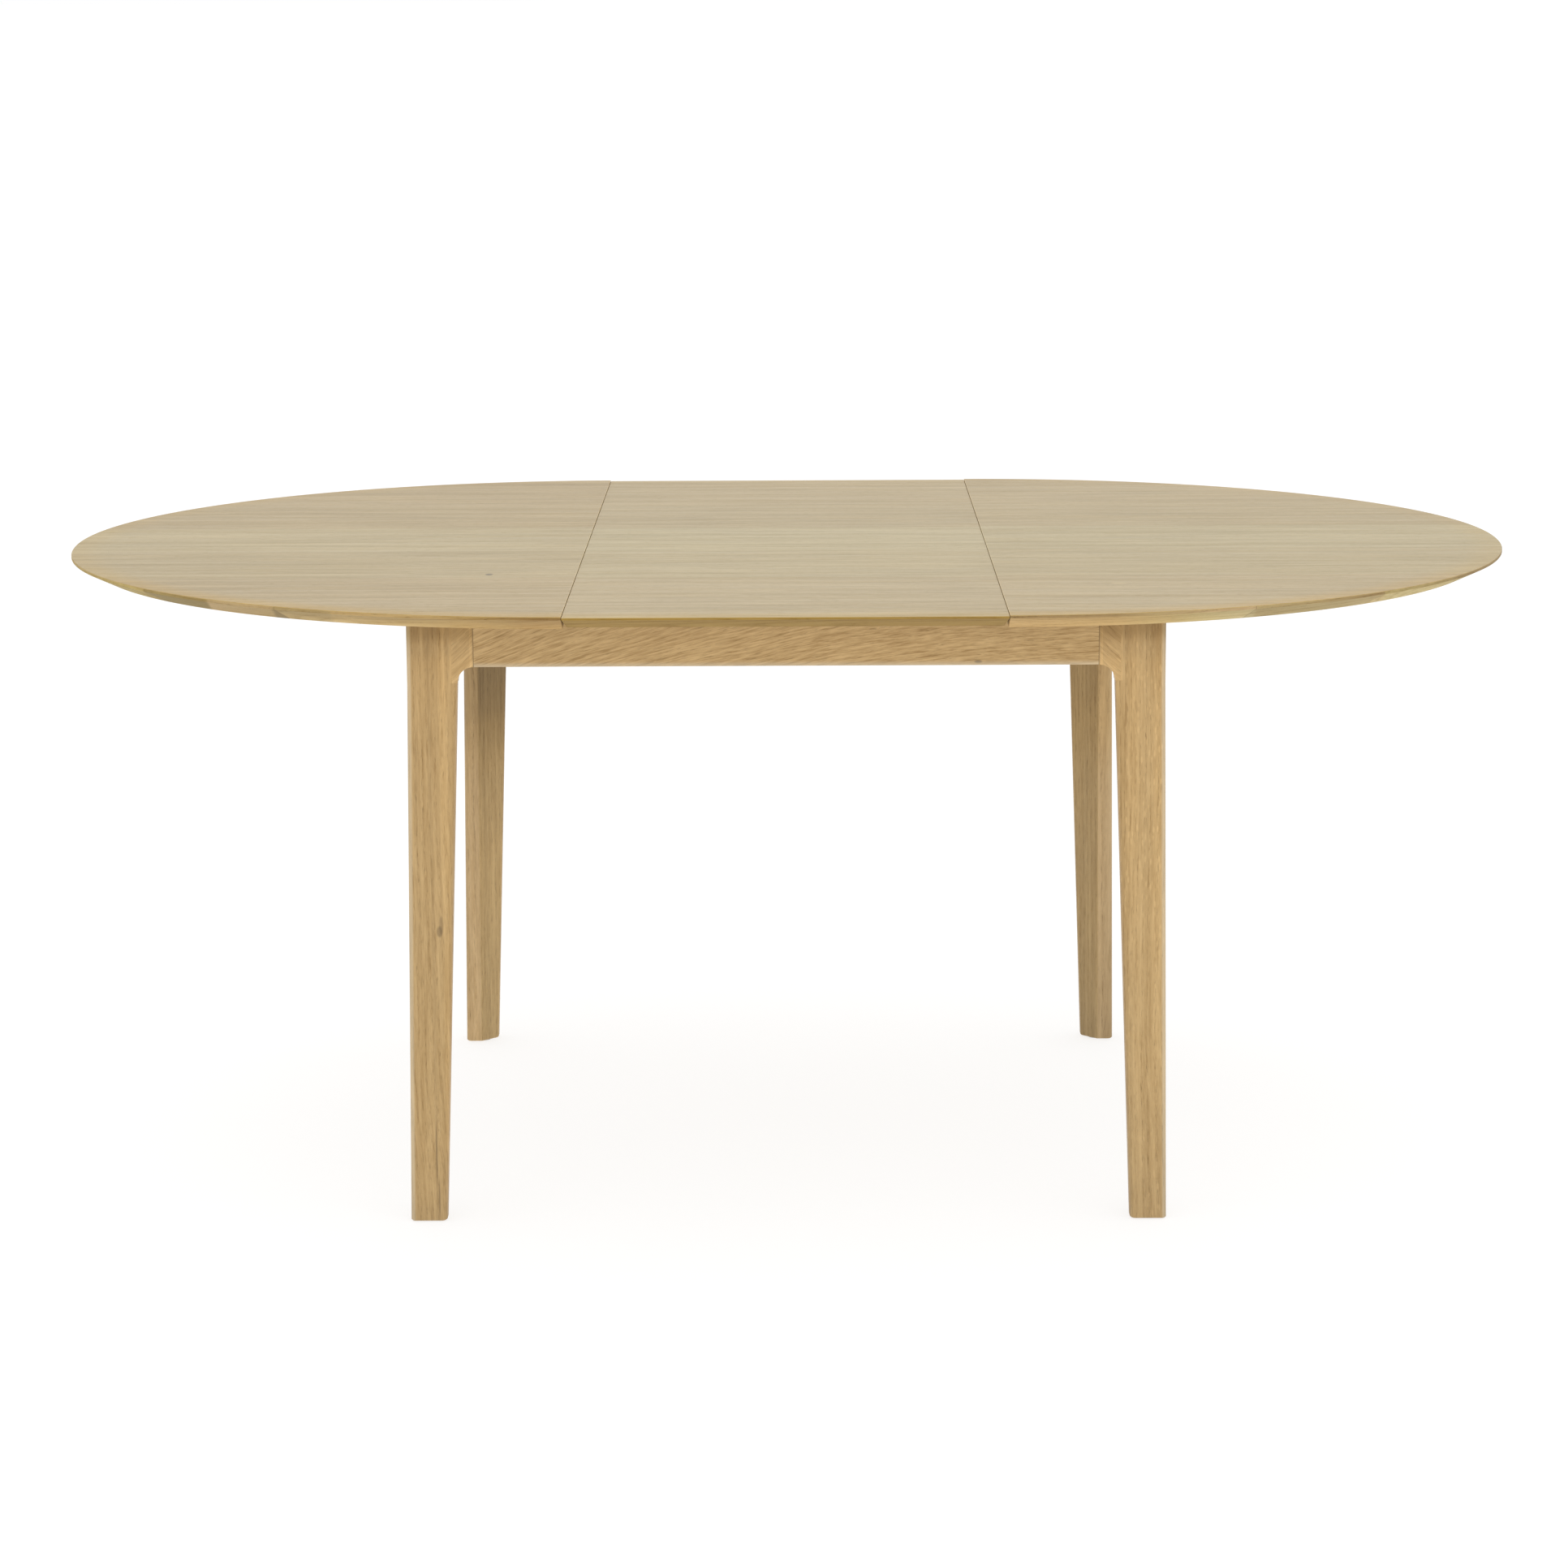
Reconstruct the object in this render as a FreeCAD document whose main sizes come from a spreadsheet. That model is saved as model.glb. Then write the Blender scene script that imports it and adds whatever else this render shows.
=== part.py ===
import FreeCAD, Part
import math
import os

import Sketcher
from FreeCAD import Placement, Rotation, Vector

# Round table that extends to an oval: two half-round tops slide apart on wooden runners and a loose leaf lies between them.
# Frame: millimetres, origin on the floor under the middle of the table, +X along the length, +Y to the back, +Z up.
# It is drawn extended, with the leaf in place.

doc = FreeCAD.newDocument("extending_table")
sheet = doc.addObject("Spreadsheet::Sheet", "Dimensions")
sheet.Label = "Dimensions"


class Size:
    """A length that knows both its value and the expression it comes from."""

    def __init__(self, text, value):
        self.text, self.value = text, float(value)

    def __add__(self, other):
        other = size(other)
        return Size("(%s + %s)" % (self.text, other.text), self.value + other.value)

    def __sub__(self, other):
        other = size(other)
        return Size("(%s - %s)" % (self.text, other.text), self.value - other.value)

    def __mul__(self, other):
        other = size(other)
        return Size("(%s * %s)" % (self.text, other.text), self.value * other.value)

    def __truediv__(self, other):
        other = size(other)
        return Size("(%s / %s)" % (self.text, other.text), self.value / other.value)

    def __neg__(self):
        return Size("(-1 * %s)" % self.text, -self.value)

    __radd__ = __add__

    def __rmul__(self, other):
        return size(other) * self

    def __rsub__(self, other):
        return size(other) - self


def size(thing):
    if isinstance(thing, Size):
        return thing
    return Size("(%r)" % float(thing), thing)


ROWS = [
    # tops
    ("top_height", 758.0, "height of the halves' upper face"),
    ("top_radius", 645.0, "radius of the round halves"),
    ("half_thick", 18.0, "thickness of the halves"),
    ("edge_width", 45.0, "width of the solid wood edge"),
    ("edge_land", 3.6, "upright part of the edge"),
    ("edge_inset", 30.0, "how far the underside bevel runs in"),
    ("leaf_inset", 42.0, "how far the bevel runs in under the leaf's ends"),
    ("arris", 0.8, "small bevel on the upper edge"),
    ("leaf_width", 500.0, "distance between the halves, filled by the leaf"),
    ("leaf_drop", 1.0, "how much the leaf lies under the halves' upper face"),
    ("seam_gap", 0.6, "gap at each seam"),
    ("lift_ratio", 4.0, "how far the leaf rises for each unit that the halves close"),
    # base
    ("base_half", 442.0, "middle to outer face of the aprons and leg heads"),
    ("foot_half", 450.0, "middle to outer face of the legs at the floor"),
    ("head_top", 737.0, "top of legs and aprons"),
    ("leg_foot", 1.5, "underside of the legs, on the glides"),
    ("leg_neck", 646.0, "height where the leg starts to taper"),
    ("head_width", 58.5, "leg width at the neck"),
    ("foot_width", 43.0, "leg width at the foot"),
    ("head_flat", 20.0, "flat left on the inner faces at the neck"),
    ("foot_flat", 22.0, "flat left on the inner faces at the foot"),
    ("apron_thick", 22.0, "apron thickness"),
    ("apron_bottom", 669.0, "underside of the aprons"),
    ("joint_line", 364.0, "middle to the joint between leg head and apron"),
    ("shoulder_round", 19.0, "radius under the leg's shoulders"),
    ("tenon_long", 30.0, "tenon length"),
    ("tenon_thick", 10.0, "tenon thickness"),
    ("tenon_edge", 10.0, "tenon's distance from the apron's edges"),
    # slides
    ("bearer_thick", 28.0, "height of the cross bearers"),
    ("bearer_wide", 60.0, "width of the cross bearers"),
    ("bearer_mid", 200.0, "middle to the middle of a cross bearer"),
    ("rail_mid", 200.0, "middle to the middle of a guide rail"),
    ("rail_wide", 20.0, "width of the guide rails"),
    ("runner_wide", 28.0, "width of the runners"),
    ("runner_tall", 30.0, "height of the runners"),
    ("slide_gap", 0.3, "side clearance of the runners"),
    ("tongue_deep", 6.0, "how far the rail's tongues stand out"),
    ("tongue_tall", 10.0, "height of the tongues"),
    ("runner_out", 640.0, "middle to the outer end of a runner"),
    ("runner_in", 150.0, "how far a runner reaches past the middle"),
    ("pad_thick", 4.0, "thickness of the slide pads"),
    ("felt_thick", 3.0, "thickness of the felt pads"),
    ("stop_wide", 20.0, "length of a stop block"),
    # synchroniser
    ("gear_module", 2.0, "module of pinion and racks"),
    ("gear_teeth", 20.0, "teeth on the pinion"),
    ("gear_tall", 8.0, "height of pinion and racks"),
    ("backlash", 0.25, "thinning of each tooth"),
    ("rack_back", 34.0, "middle to the back face of a rack"),
    ("axle_round", 4.0, "radius of the pinion's axle"),
    ("axle_play", 0.05, "radial clearance of the pinion on its axle"),
    ("plate_thick", 3.0, "thickness of steel plates"),
    ("board_thick", 15.0, "thickness of the board that carries the pinion"),
]
for line, (alias, value, note) in enumerate(ROWS, 1):
    sheet.set("A%d" % line, note)
    sheet.set("B%d" % line, repr(value))
    sheet.setAlias("B%d" % line, alias)
doc.recompute()
D = {alias: Size("Dimensions.%s" % alias, value) for alias, value, note in ROWS}

NODES = {}


def node(name, thing):
    """Name a finished piece of the table."""
    thing.Label = name
    NODES[name] = thing
    return thing


def origin_feature(body, role):
    for feature in body.Origin.OriginFeatures:
        if feature.Role == role:
            return feature
    raise ValueError(role)


def new_body(name):
    return doc.addObject("PartDesign::Body", name)


def new_sketch(body, role, name, offset=0.0):
    """A sketch on one of the body's own origin planes, moved along that plane's normal."""
    sketch = body.newObject("Sketcher::SketchObject", name)
    sketch.AttachmentSupport = [(origin_feature(body, role), "")]
    sketch.MapMode = "FlatFace"
    offset = size(offset)
    sketch.AttachmentOffset = Placement(Vector(0, 0, offset.value), Rotation())
    sketch.setExpression("AttachmentOffset.Base.z", offset.text)
    return sketch


def polygon(sketch, points, start=0):
    """A closed outline whose corners are set from the sheet."""
    points = [(size(x), size(y)) for x, y in points]
    count = len(points)
    for i in range(count):
        a, b = points[i], points[(i + 1) % count]
        sketch.addGeometry(
            Part.LineSegment(
                Vector(a[0].value, a[1].value, 0), Vector(b[0].value, b[1].value, 0)
            ),
            False,
        )
    for i in range(count):
        sketch.addConstraint(
            Sketcher.Constraint(
                "Coincident", start + i, 2, start + (i + 1) % count, 1
            )
        )
    for i, (x, y) in enumerate(points):
        for kind, value in (("DistanceX", x), ("DistanceY", y)):
            place = sketch.addConstraint(
                Sketcher.Constraint(kind, -1, 1, start + i, 1, value.value)
            )
            label = "%s%d" % (kind[-1], start + i)
            sketch.renameConstraint(place, label)
            sketch.setExpression("Constraints.%s" % label, value.text)
    return start + count


def circle(sketch, x, y, radius, start=0):
    x, y, radius = size(x), size(y), size(radius)
    sketch.addGeometry(
        Part.Circle(Vector(x.value, y.value, 0), Vector(0, 0, 1), radius.value), False
    )
    for kind, value, args in (
        ("DistanceX", x, (-1, 1, start, 3)),
        ("DistanceY", y, (-1, 1, start, 3)),
        ("Radius", radius, (start,)),
    ):
        place = sketch.addConstraint(Sketcher.Constraint(kind, *args, value.value))
        label = "%s_%d" % (kind, start)
        sketch.renameConstraint(place, label)
        sketch.setExpression("Constraints.%s" % label, value.text)
    return start + 1


def pad(body, sketch, length, name, middle=False):
    length = size(length)
    feature = body.newObject("PartDesign::Pad", name)
    feature.Profile = sketch
    feature.Length = length.value
    feature.setExpression("Length", length.text)
    if middle:
        feature.Midplane = True
    sketch.Visibility = False
    return feature


def pocket(body, sketch, length, name, turned=False):
    length = size(length)
    feature = body.newObject("PartDesign::Pocket", name)
    feature.Profile = sketch
    feature.Length = length.value
    feature.setExpression("Length", length.text)
    feature.Reversed = turned
    doc.recompute()
    before = feature.BaseFeature.Shape.Volume
    if not feature.Shape.Volume < before - 1.0:
        raise RuntimeError("%s of %s cuts nothing" % (name, body.Name))
    return feature


def block(name, x, y, z):
    """A rectangular piece from its lowest and highest coordinates."""
    box = doc.addObject("Part::Box", name)
    for low_high, side, axis in ((x, "Length", "x"), (y, "Width", "y"), (z, "Height", "z")):
        low, high = size(low_high[0]), size(low_high[1])
        box.setExpression(side, (high - low).text)
        box.setExpression("Placement.Base.%s" % axis, low.text)
    return box


def rod(name, x, y, low, high, radius):
    """An upright round piece."""
    x, y, low, high, radius = (size(v) for v in (x, y, low, high, radius))
    cylinder = doc.addObject("Part::Cylinder", name)
    cylinder.setExpression("Radius", radius.text)
    cylinder.setExpression("Height", (high - low).text)
    cylinder.setExpression("Placement.Base.x", x.text)
    cylinder.setExpression("Placement.Base.y", y.text)
    cylinder.setExpression("Placement.Base.z", low.text)
    return cylinder


def group(name, things):
    compound = doc.addObject("Part::Compound", name)
    compound.Links = things
    return compound


def drilled(name, base, fasteners):
    """The piece with the holes that its fasteners fill."""
    cut = doc.addObject("Part::Cut", name)
    cut.Base = base
    if len(fasteners) == 1:
        cut.Tool = fasteners[0]
    else:
        cut.Tool = group(name + "_holes", fasteners)
    return cut


def screws(name, places, low, head, top, shank_radius, head_radius, upward=True):
    """Round-headed screws in one node: heads from low to head, shanks from head to top (or heads on top)."""
    made = []
    low, head, top = size(low), size(head), size(top)
    for count, (x, y) in enumerate(places, 1):
        if upward:
            a = rod("%s_head_%d" % (name, count), x, y, low, head, head_radius)
            b = rod("%s_shank_%d" % (name, count), x, y, head, top, shank_radius)
        else:
            a = rod("%s_head_%d" % (name, count), x, y, head, top, head_radius)
            b = rod("%s_shank_%d" % (name, count), x, y, low, head, shank_radius)
        fuse = doc.addObject("Part::Fuse", "%s_%d" % (name, count))
        fuse.Base, fuse.Tool = a, b
        made.append(fuse)
    return group(name, made)


# ---------------------------------------------------------------- levels
top = D["top_height"]
under = top - D["half_thick"]
head_top = D["head_top"]
half = D["leaf_width"] / 2
runner_low = under - D["runner_tall"]
bearer_top = runner_low - D["pad_thick"]
bearer_low = bearer_top - D["bearer_thick"]
board_top = bearer_top + D["board_thick"]
plate_top = board_top + D["plate_thick"]
gear_low = plate_top + 4
gear_top = gear_low + D["gear_tall"]
out = D["base_half"]
inner = out - D["apron_thick"]
outward = D["foot_half"] - out

# ---------------------------------------------------------------- legs
# Square outside, the inner corner cut off; the outer faces lean out a little and the inner faces taper in.
TURNS = {"front_left": 0, "front_right": 90, "rear_right": 180, "rear_left": 270}


OUTSIDE, EASED = 5.0, 3.0  # rounding of the outer corner and of the two edges beside the cut face
FOOT_SOFT, WAIST_SOFT, NECK_SOFT = 7.0, 11.0, 3.5  # rounding of the two front edges
FADE = 50.0  # below the neck, where the front edges are roundest
LEAN = math.tan(math.radians(22.5))


def leg_section(body, name, height, outer, wide, flat, soft, shrink=0.0):
    """The leg's section: a square with its inner corner cut off and every corner rounded, the two front edges by soft."""
    sketch = new_sketch(body, "XY_Plane", name, height)
    low, high, step = -outer, wide - outer, flat - outer
    soft, eased, outside = soft - shrink, EASED - shrink, OUTSIDE - shrink
    # corner, centre of its rounding, radius, start and end angle
    corners = [
        (low + outside, low + outside, outside, 180, 270),
        (high - soft, low + soft, soft, 270, 360),
        (high - eased, step - eased * LEAN, eased, 0, 45),
        (step - eased * LEAN, high - eased, eased, 45, 90),
        (low + soft, high - soft, soft, 90, 180),
    ]
    ends = []
    for x, y, r, first, last in corners:
        x, y = size(x), size(y)
        sketch.addGeometry(
            Part.ArcOfCircle(
                Part.Circle(Vector(x.value, y.value, 0), Vector(0, 0, 1), r),
                math.radians(first),
                math.radians(last),
            ),
            False,
        )
        ends.append(
            [
                Vector(
                    x.value + r * math.cos(math.radians(t)),
                    y.value + r * math.sin(math.radians(t)),
                    0,
                )
                for t in (first, last)
            ]
        )
    for i in range(5):
        sketch.addGeometry(Part.LineSegment(ends[i][1], ends[(i + 1) % 5][0]), False)
    for i in range(5):
        sketch.addConstraint(Sketcher.Constraint("Tangent", i, 2, 5 + i, 1))
        sketch.addConstraint(Sketcher.Constraint("Tangent", 5 + i, 2, (i + 1) % 5, 1))
    for i, (x, y, r, first, last) in enumerate(corners):
        for kind, value in (("DistanceX", size(x)), ("DistanceY", size(y))):
            index = sketch.addConstraint(Sketcher.Constraint(kind, -1, 1, i, 3, value.value))
            sketch.renameConstraint(index, "%s_%d" % (kind[-1], i))
            sketch.setExpression("Constraints.%s_%d" % (kind[-1], i), value.text)
        sketch.addConstraint(Sketcher.Constraint("Radius", i, r))
    return sketch


def make_leg(place, turn):
    body = new_body("leg_body_" + place)
    bevel = 1.5
    foot = leg_section(
        body,
        "foot_" + place,
        D["leg_foot"],
        D["foot_half"] - bevel,
        D["foot_width"] - 2 * bevel,
        D["foot_flat"] - 1.4 * bevel,
        FOOT_SOFT,
        bevel,
    )
    above = leg_section(
        body,
        "above_foot_" + place,
        D["leg_foot"] + bevel,
        D["foot_half"],
        D["foot_width"],
        D["foot_flat"],
        FOOT_SOFT,
    )
    # the front edges are roundest a little below the shoulders, and sharpen into them
    share = (D["leg_neck"] - FADE - D["leg_foot"] - bevel) / (
        D["leg_neck"] - D["leg_foot"] - bevel
    )
    waist = leg_section(
        body,
        "waist_" + place,
        D["leg_neck"] - FADE,
        D["foot_half"] + (out - D["foot_half"]) * share,
        D["foot_width"] + (D["head_width"] - D["foot_width"]) * share,
        D["foot_flat"] + (D["head_flat"] - D["foot_flat"]) * share,
        WAIST_SOFT,
    )
    neck = leg_section(
        body, "neck_" + place, D["leg_neck"], out, D["head_width"], D["head_flat"], NECK_SOFT
    )
    loft = body.newObject("PartDesign::AdditiveLoft", "taper_" + place)
    loft.Profile = foot
    loft.Sections = [above, waist, neck]
    loft.Ruled = True
    doc.recompute()
    if not 1.1e6 < loft.Shape.Volume < 1.5e6:
        raise RuntimeError("leg taper of %s went wrong" % place)

    # head: the neck's section carried up to the top
    head = leg_section(
        body,
        "head_section_" + place,
        D["leg_neck"],
        out,
        D["head_width"],
        D["head_flat"],
        NECK_SOFT,
    )
    head_pad = pad(body, head, head_top - D["leg_neck"], "head_" + place)
    # shoulders that meet the aprons, rounded underneath
    for role, tag, shift in (
        ("XZ_Plane", "front", inner),
        ("YZ_Plane", "side", -out),
    ):
        wing = new_sketch(body, role, "shoulder_%s_%s" % (tag, place), shift)
        r = D["shoulder_round"].value
        jx, bot, hi = D["joint_line"].value, D["apron_bottom"].value, head_top.value
        back = -out.value + 30.0
        pts = [
            Vector(back, hi, 0),
            Vector(-jx, hi, 0),
            Vector(-jx, bot, 0),
            Vector(-jx - r, bot - r, 0),
            Vector(back, bot - r, 0),
        ]
        wing.addGeometry(Part.LineSegment(pts[0], pts[1]), False)
        wing.addGeometry(Part.LineSegment(pts[1], pts[2]), False)
        centre = Vector(-jx, bot - r, 0)
        wing.addGeometry(
            Part.ArcOfCircle(
                Part.Circle(centre, Vector(0, 0, 1), r), math.pi / 2, math.pi
            ),
            False,
        )
        wing.addGeometry(Part.LineSegment(pts[3], pts[4]), False)
        wing.addGeometry(Part.LineSegment(pts[4], pts[0]), False)
        for a, b in (
            ((0, 2), (1, 1)),
            ((1, 2), (2, 1)),
            ((2, 2), (3, 1)),
            ((3, 2), (4, 1)),
            ((4, 2), (0, 1)),
        ):
            wing.addConstraint(Sketcher.Constraint("Coincident", a[0], a[1], b[0], b[1]))
        for i, kind in ((0, "Horizontal"), (1, "Vertical"), (3, "Horizontal"), (4, "Vertical")):
            wing.addConstraint(Sketcher.Constraint(kind, i))
        for label, kind, args, value in (
            ("joint", "DistanceX", (-1, 1, 1, 2), -D["joint_line"]),
            ("bottom", "DistanceY", (-1, 1, 1, 2), D["apron_bottom"]),
            ("top", "DistanceY", (-1, 1, 0, 1), head_top),
            ("back", "DistanceX", (-1, 1, 0, 1), 30 - out),
            ("round_x", "DistanceX", (-1, 1, 2, 3), -D["joint_line"]),
            ("round_y", "DistanceY", (-1, 1, 2, 3), D["apron_bottom"] - D["shoulder_round"]),
            ("turn_y", "DistanceY", (-1, 1, 3, 1), D["apron_bottom"] - D["shoulder_round"]),
        ):
            index = wing.addConstraint(Sketcher.Constraint(kind, *args, value.value))
            wing.renameConstraint(index, label)
            wing.setExpression("Constraints.%s" % label, value.text)
        pad(body, wing, D["apron_thick"], "shoulder_pad_%s_%s" % (tag, place))
    doc.recompute()
    # mortises for the aprons' tenons
    t_low = out - D["apron_thick"] / 2 + D["tenon_thick"] / 2
    t_high = out - D["apron_thick"] / 2 - D["tenon_thick"] / 2
    z_low = D["apron_bottom"] + D["tenon_edge"]
    z_high = head_top - D["tenon_edge"]
    for role, tag, shift, turned in (
        ("YZ_Plane", "front", -D["joint_line"], False),
        ("XZ_Plane", "side", D["joint_line"], True),
    ):
        mortise = new_sketch(body, role, "mortise_%s_%s" % (tag, place), shift)
        polygon(
            mortise,
            [(-t_low, z_low), (-t_high, z_low), (-t_high, z_high), (-t_low, z_high)],
        )
        pocket(body, mortise, D["tenon_long"] + 1, "mortise_cut_%s_%s" % (tag, place), turned)
    body.Placement = Placement(Vector(0, 0, 0), Rotation(Vector(0, 0, 1), turn))
    return body


legs = {place: make_leg(place, turn) for place, turn in TURNS.items()}


# ---------------------------------------------------------------- aprons
def make_apron(name, turn, notches=()):
    """An apron drawn as the front one and turned into place; notches are (middle, width) along it."""
    body = new_body(name + "_body")
    sketch = new_sketch(body, "XZ_Plane", name + "_face", inner)
    low = D["apron_bottom"]
    corners = [(-D["joint_line"], low), (D["joint_line"], low), (D["joint_line"], head_top)]
    for middle, wide in sorted(notches, key=lambda n: -size(n[0]).value):
        a, b = middle + wide / 2, middle - wide / 2
        corners += [
            (a, head_top),
            (a, runner_low - 0.5),
            (b, runner_low - 0.5),
            (b, head_top),
        ]
    corners += [(-D["joint_line"], head_top)]
    polygon(sketch, corners)
    pad(body, sketch, D["apron_thick"], name + "_board")
    tenon = new_sketch(
        body,
        "XZ_Plane",
        name + "_tenon_face",
        out - D["apron_thick"] / 2 - D["tenon_thick"] / 2,
    )
    reach = D["joint_line"] + D["tenon_long"]
    t_low, t_high = low + D["tenon_edge"], head_top - D["tenon_edge"]
    # a tenon at each end
    next_one = polygon(
        tenon,
        [
            (-reach, t_low),
            (10 - D["joint_line"], t_low),
            (10 - D["joint_line"], t_high),
            (-reach, t_high),
        ],
    )
    polygon(
        tenon,
        [
            (D["joint_line"] - 10, t_low),
            (reach, t_low),
            (reach, t_high),
            (D["joint_line"] - 10, t_high),
        ],
        next_one,
    )
    pad(body, tenon, D["tenon_thick"], name + "_tenons")
    body.Placement = Placement(Vector(0, 0, 0), Rotation(Vector(0, 0, 1), turn))
    return body


runner_mid_left = D["rail_mid"] + D["rail_wide"] / 2 + D["slide_gap"] + D["runner_wide"] / 2
runner_mid_right = D["rail_mid"] - D["rail_wide"] / 2 - D["slide_gap"] - D["runner_wide"] / 2
notch_wide = D["runner_wide"] + 1.0
aprons = {
    "front": make_apron("apron_front", 0),
    "right": make_apron(
        "apron_right",
        90,
        [(runner_mid_right, notch_wide), (-runner_mid_right, notch_wide)],
    ),
    "rear": make_apron("apron_rear", 180),
    "left": make_apron(
        "apron_left",
        270,
        [(runner_mid_left, notch_wide), (-runner_mid_left, notch_wide)],
    ),
}

# ---------------------------------------------------------------- corner blocks with hanger bolts
# The block lies across the corner against the leg's cut face; two bolts run along the diagonal.
root2 = math.sqrt(2.0)
facet_sum = D["head_width"] + D["head_flat"] - out * 2  # x + y on the leg's cut face
block_thick = 22.0
block_low, block_high = 686.0, 726.0
corner_blocks, bolt_list, washer_list, nut_list = {}, [], [], []
for place, turn in TURNS.items():
    body = new_body("corner_block_body_" + place)
    sketch = new_sketch(body, "XY_Plane", "corner_block_face_" + place, block_low)
    far = facet_sum + block_thick * root2
    polygon(
        sketch,
        [
            (-inner, facet_sum + inner),
            (facet_sum + inner, -inner),
            (far + inner, -inner),
            (-inner, far + inner),
        ],
    )
    pad(body, sketch, block_high - block_low, "corner_block_pad_" + place)
    body.Placement = Placement(Vector(0, 0, 0), Rotation(Vector(0, 0, 1), turn))
    corner_blocks[place] = body

facet_mid = facet_sum.value / 2.0
diagonal = Vector(1 / root2, 1 / root2, 0)
facet_point = Vector(facet_mid, facet_mid, 0)


def hexagon(radius, height):
    ring = [
        Vector(radius * math.cos(math.radians(60 * i)), radius * math.sin(math.radians(60 * i)), 0)
        for i in range(7)
    ]
    return Part.Face(Part.makePolygon(ring)).extrude(Vector(0, 0, height))


def along_diagonal(shape, distance, height, turn):
    """Stand a shape drawn on +Z on the corner's diagonal, distance past the leg's cut face."""
    at = facet_point + diagonal * distance + Vector(0, 0, height)
    shape = shape.copy()
    shape.Placement = Placement(at, Rotation(Vector(0, 0, 1), diagonal))
    return shape.transformed(
        Placement(Vector(0, 0, 0), Rotation(Vector(0, 0, 1), turn)).toMatrix(), True
    )


BOLT_HEIGHTS = (696.0, 716.0)
for place, turn in TURNS.items():
    for height in BOLT_HEIGHTS:
        bolt_list.append(
            along_diagonal(Part.makeCylinder(4.0, 35.0 + block_thick + 14.0), -35.0, height, turn)
        )
        washer = Part.makeCylinder(9.0, 1.6).cut(Part.makeCylinder(4.0, 1.6))
        washer_list.append(along_diagonal(washer, block_thick, height, turn))
        nut = hexagon(7.5, 6.5).cut(Part.makeCylinder(4.0, 6.5))
        nut_list.append(along_diagonal(nut, block_thick + 1.6, height, turn))


def feature(name, shapes):
    """A node of separate solids that no primitive draws."""
    thing = doc.addObject("Part::Feature", name)
    thing.Shape = Part.makeCompound(shapes) if len(shapes) > 1 else shapes[0]
    thing.Placement = Placement(Vector(0, 0, 0), Rotation())
    return node(name, thing)


hanger_bolts = feature("hanger_bolts", bolt_list)
feature("bolt_nuts_and_washers", washer_list + nut_list)

for place in TURNS:
    node("leg_" + place, drilled("leg_" + place, legs[place], [hanger_bolts]))
    node(
        "corner_block_" + place,
        drilled("corner_block_" + place, corner_blocks[place], [hanger_bolts]),
    )

# ---------------------------------------------------------------- cross bearers and guide rails
bearer_half = D["bearer_wide"] / 2
rail_half = D["rail_wide"] / 2
rail_top = head_top - 1.0
screw_low = bearer_low
rail_screws = screws(
    "rail_screws",
    [(sx * D["bearer_mid"], sy * D["rail_mid"]) for sx in (-1, 1) for sy in (-1, 1)],
    screw_low,
    screw_low + 4,
    bearer_top + 15,
    2.5,
    5.0,
)
board_screws = screws(
    "board_screws",
    [(sx * D["bearer_mid"], sy * 40.0) for sx in (-1, 1) for sy in (-1, 1)],
    screw_low,
    screw_low + 4,
    bearer_top + 11,
    2.5,
    5.0,
)
# steel angles that hold the bearers' ends to the long aprons
bracket_shapes, base_screw_shapes = [], []
b_thick, b_long, b_low, b_high = 2.0, 28.0, bearer_low.value + 3.0, bearer_top.value - 3.0
for sx in (-1, 1):
    for sy in (-1, 1):
        edge = D["bearer_mid"].value - bearer_half.value  # inner side face of the bearer
        wall = inner.value
        a = Part.makeBox(b_long, b_thick, b_high - b_low, Vector(edge - b_long, wall - b_thick, b_low))
        b = Part.makeBox(b_thick, b_long, b_high - b_low, Vector(edge - b_thick, wall - b_long, b_low))
        angle = a.fuse(b).removeSplitter()
        mid = (b_low + b_high) / 2
        s1 = Part.makeCylinder(2.0, 14.0, Vector(edge - b_long + 9.0, wall - b_thick, mid), Vector(0, 1, 0))
        s1 = s1.fuse(
            Part.makeCylinder(4.0, 2.0, Vector(edge - b_long + 9.0, wall - b_thick - 2.0, mid), Vector(0, 1, 0))
        )
        s2 = Part.makeCylinder(2.0, 16.0, Vector(edge - b_thick, wall - b_long + 9.0, mid), Vector(1, 0, 0))
        s2 = s2.fuse(
            Part.makeCylinder(4.0, 2.0, Vector(edge - b_thick - 2.0, wall - b_long + 9.0, mid), Vector(1, 0, 0))
        )
        angle = angle.cut(s1).cut(s2)
        for shape, store in ((angle, bracket_shapes), (s1, base_screw_shapes), (s2, base_screw_shapes)):
            if sx < 0:
                shape = shape.mirror(Vector(0, 0, 0), Vector(1, 0, 0))
            if sy < 0:
                shape = shape.mirror(Vector(0, 0, 0), Vector(0, 1, 0))
            store.append(shape)
feature("bearer_brackets", bracket_shapes)
bracket_screws = doc.addObject("Part::Feature", "bracket_screws")
bracket_screws.Shape = Part.makeCompound(base_screw_shapes)
bracket_screws.Placement = Placement(Vector(0, 0, 0), Rotation())

for name, sx in (("cross_bearer_left", -1), ("cross_bearer_right", 1)):
    mid = sx * D["bearer_mid"]
    beam = block(
        name + "_beam",
        (mid - bearer_half, mid + bearer_half),
        (-inner, inner),
        (bearer_low, bearer_top),
    )
    node(name, drilled(name, beam, [rail_screws, board_screws, bracket_screws]))
node("apron_front", drilled("apron_front", aprons["front"], [bracket_screws]))
node("apron_rear", drilled("apron_rear", aprons["rear"], [bracket_screws]))
node("apron_left", aprons["left"])
node("apron_right", aprons["right"])

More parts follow.
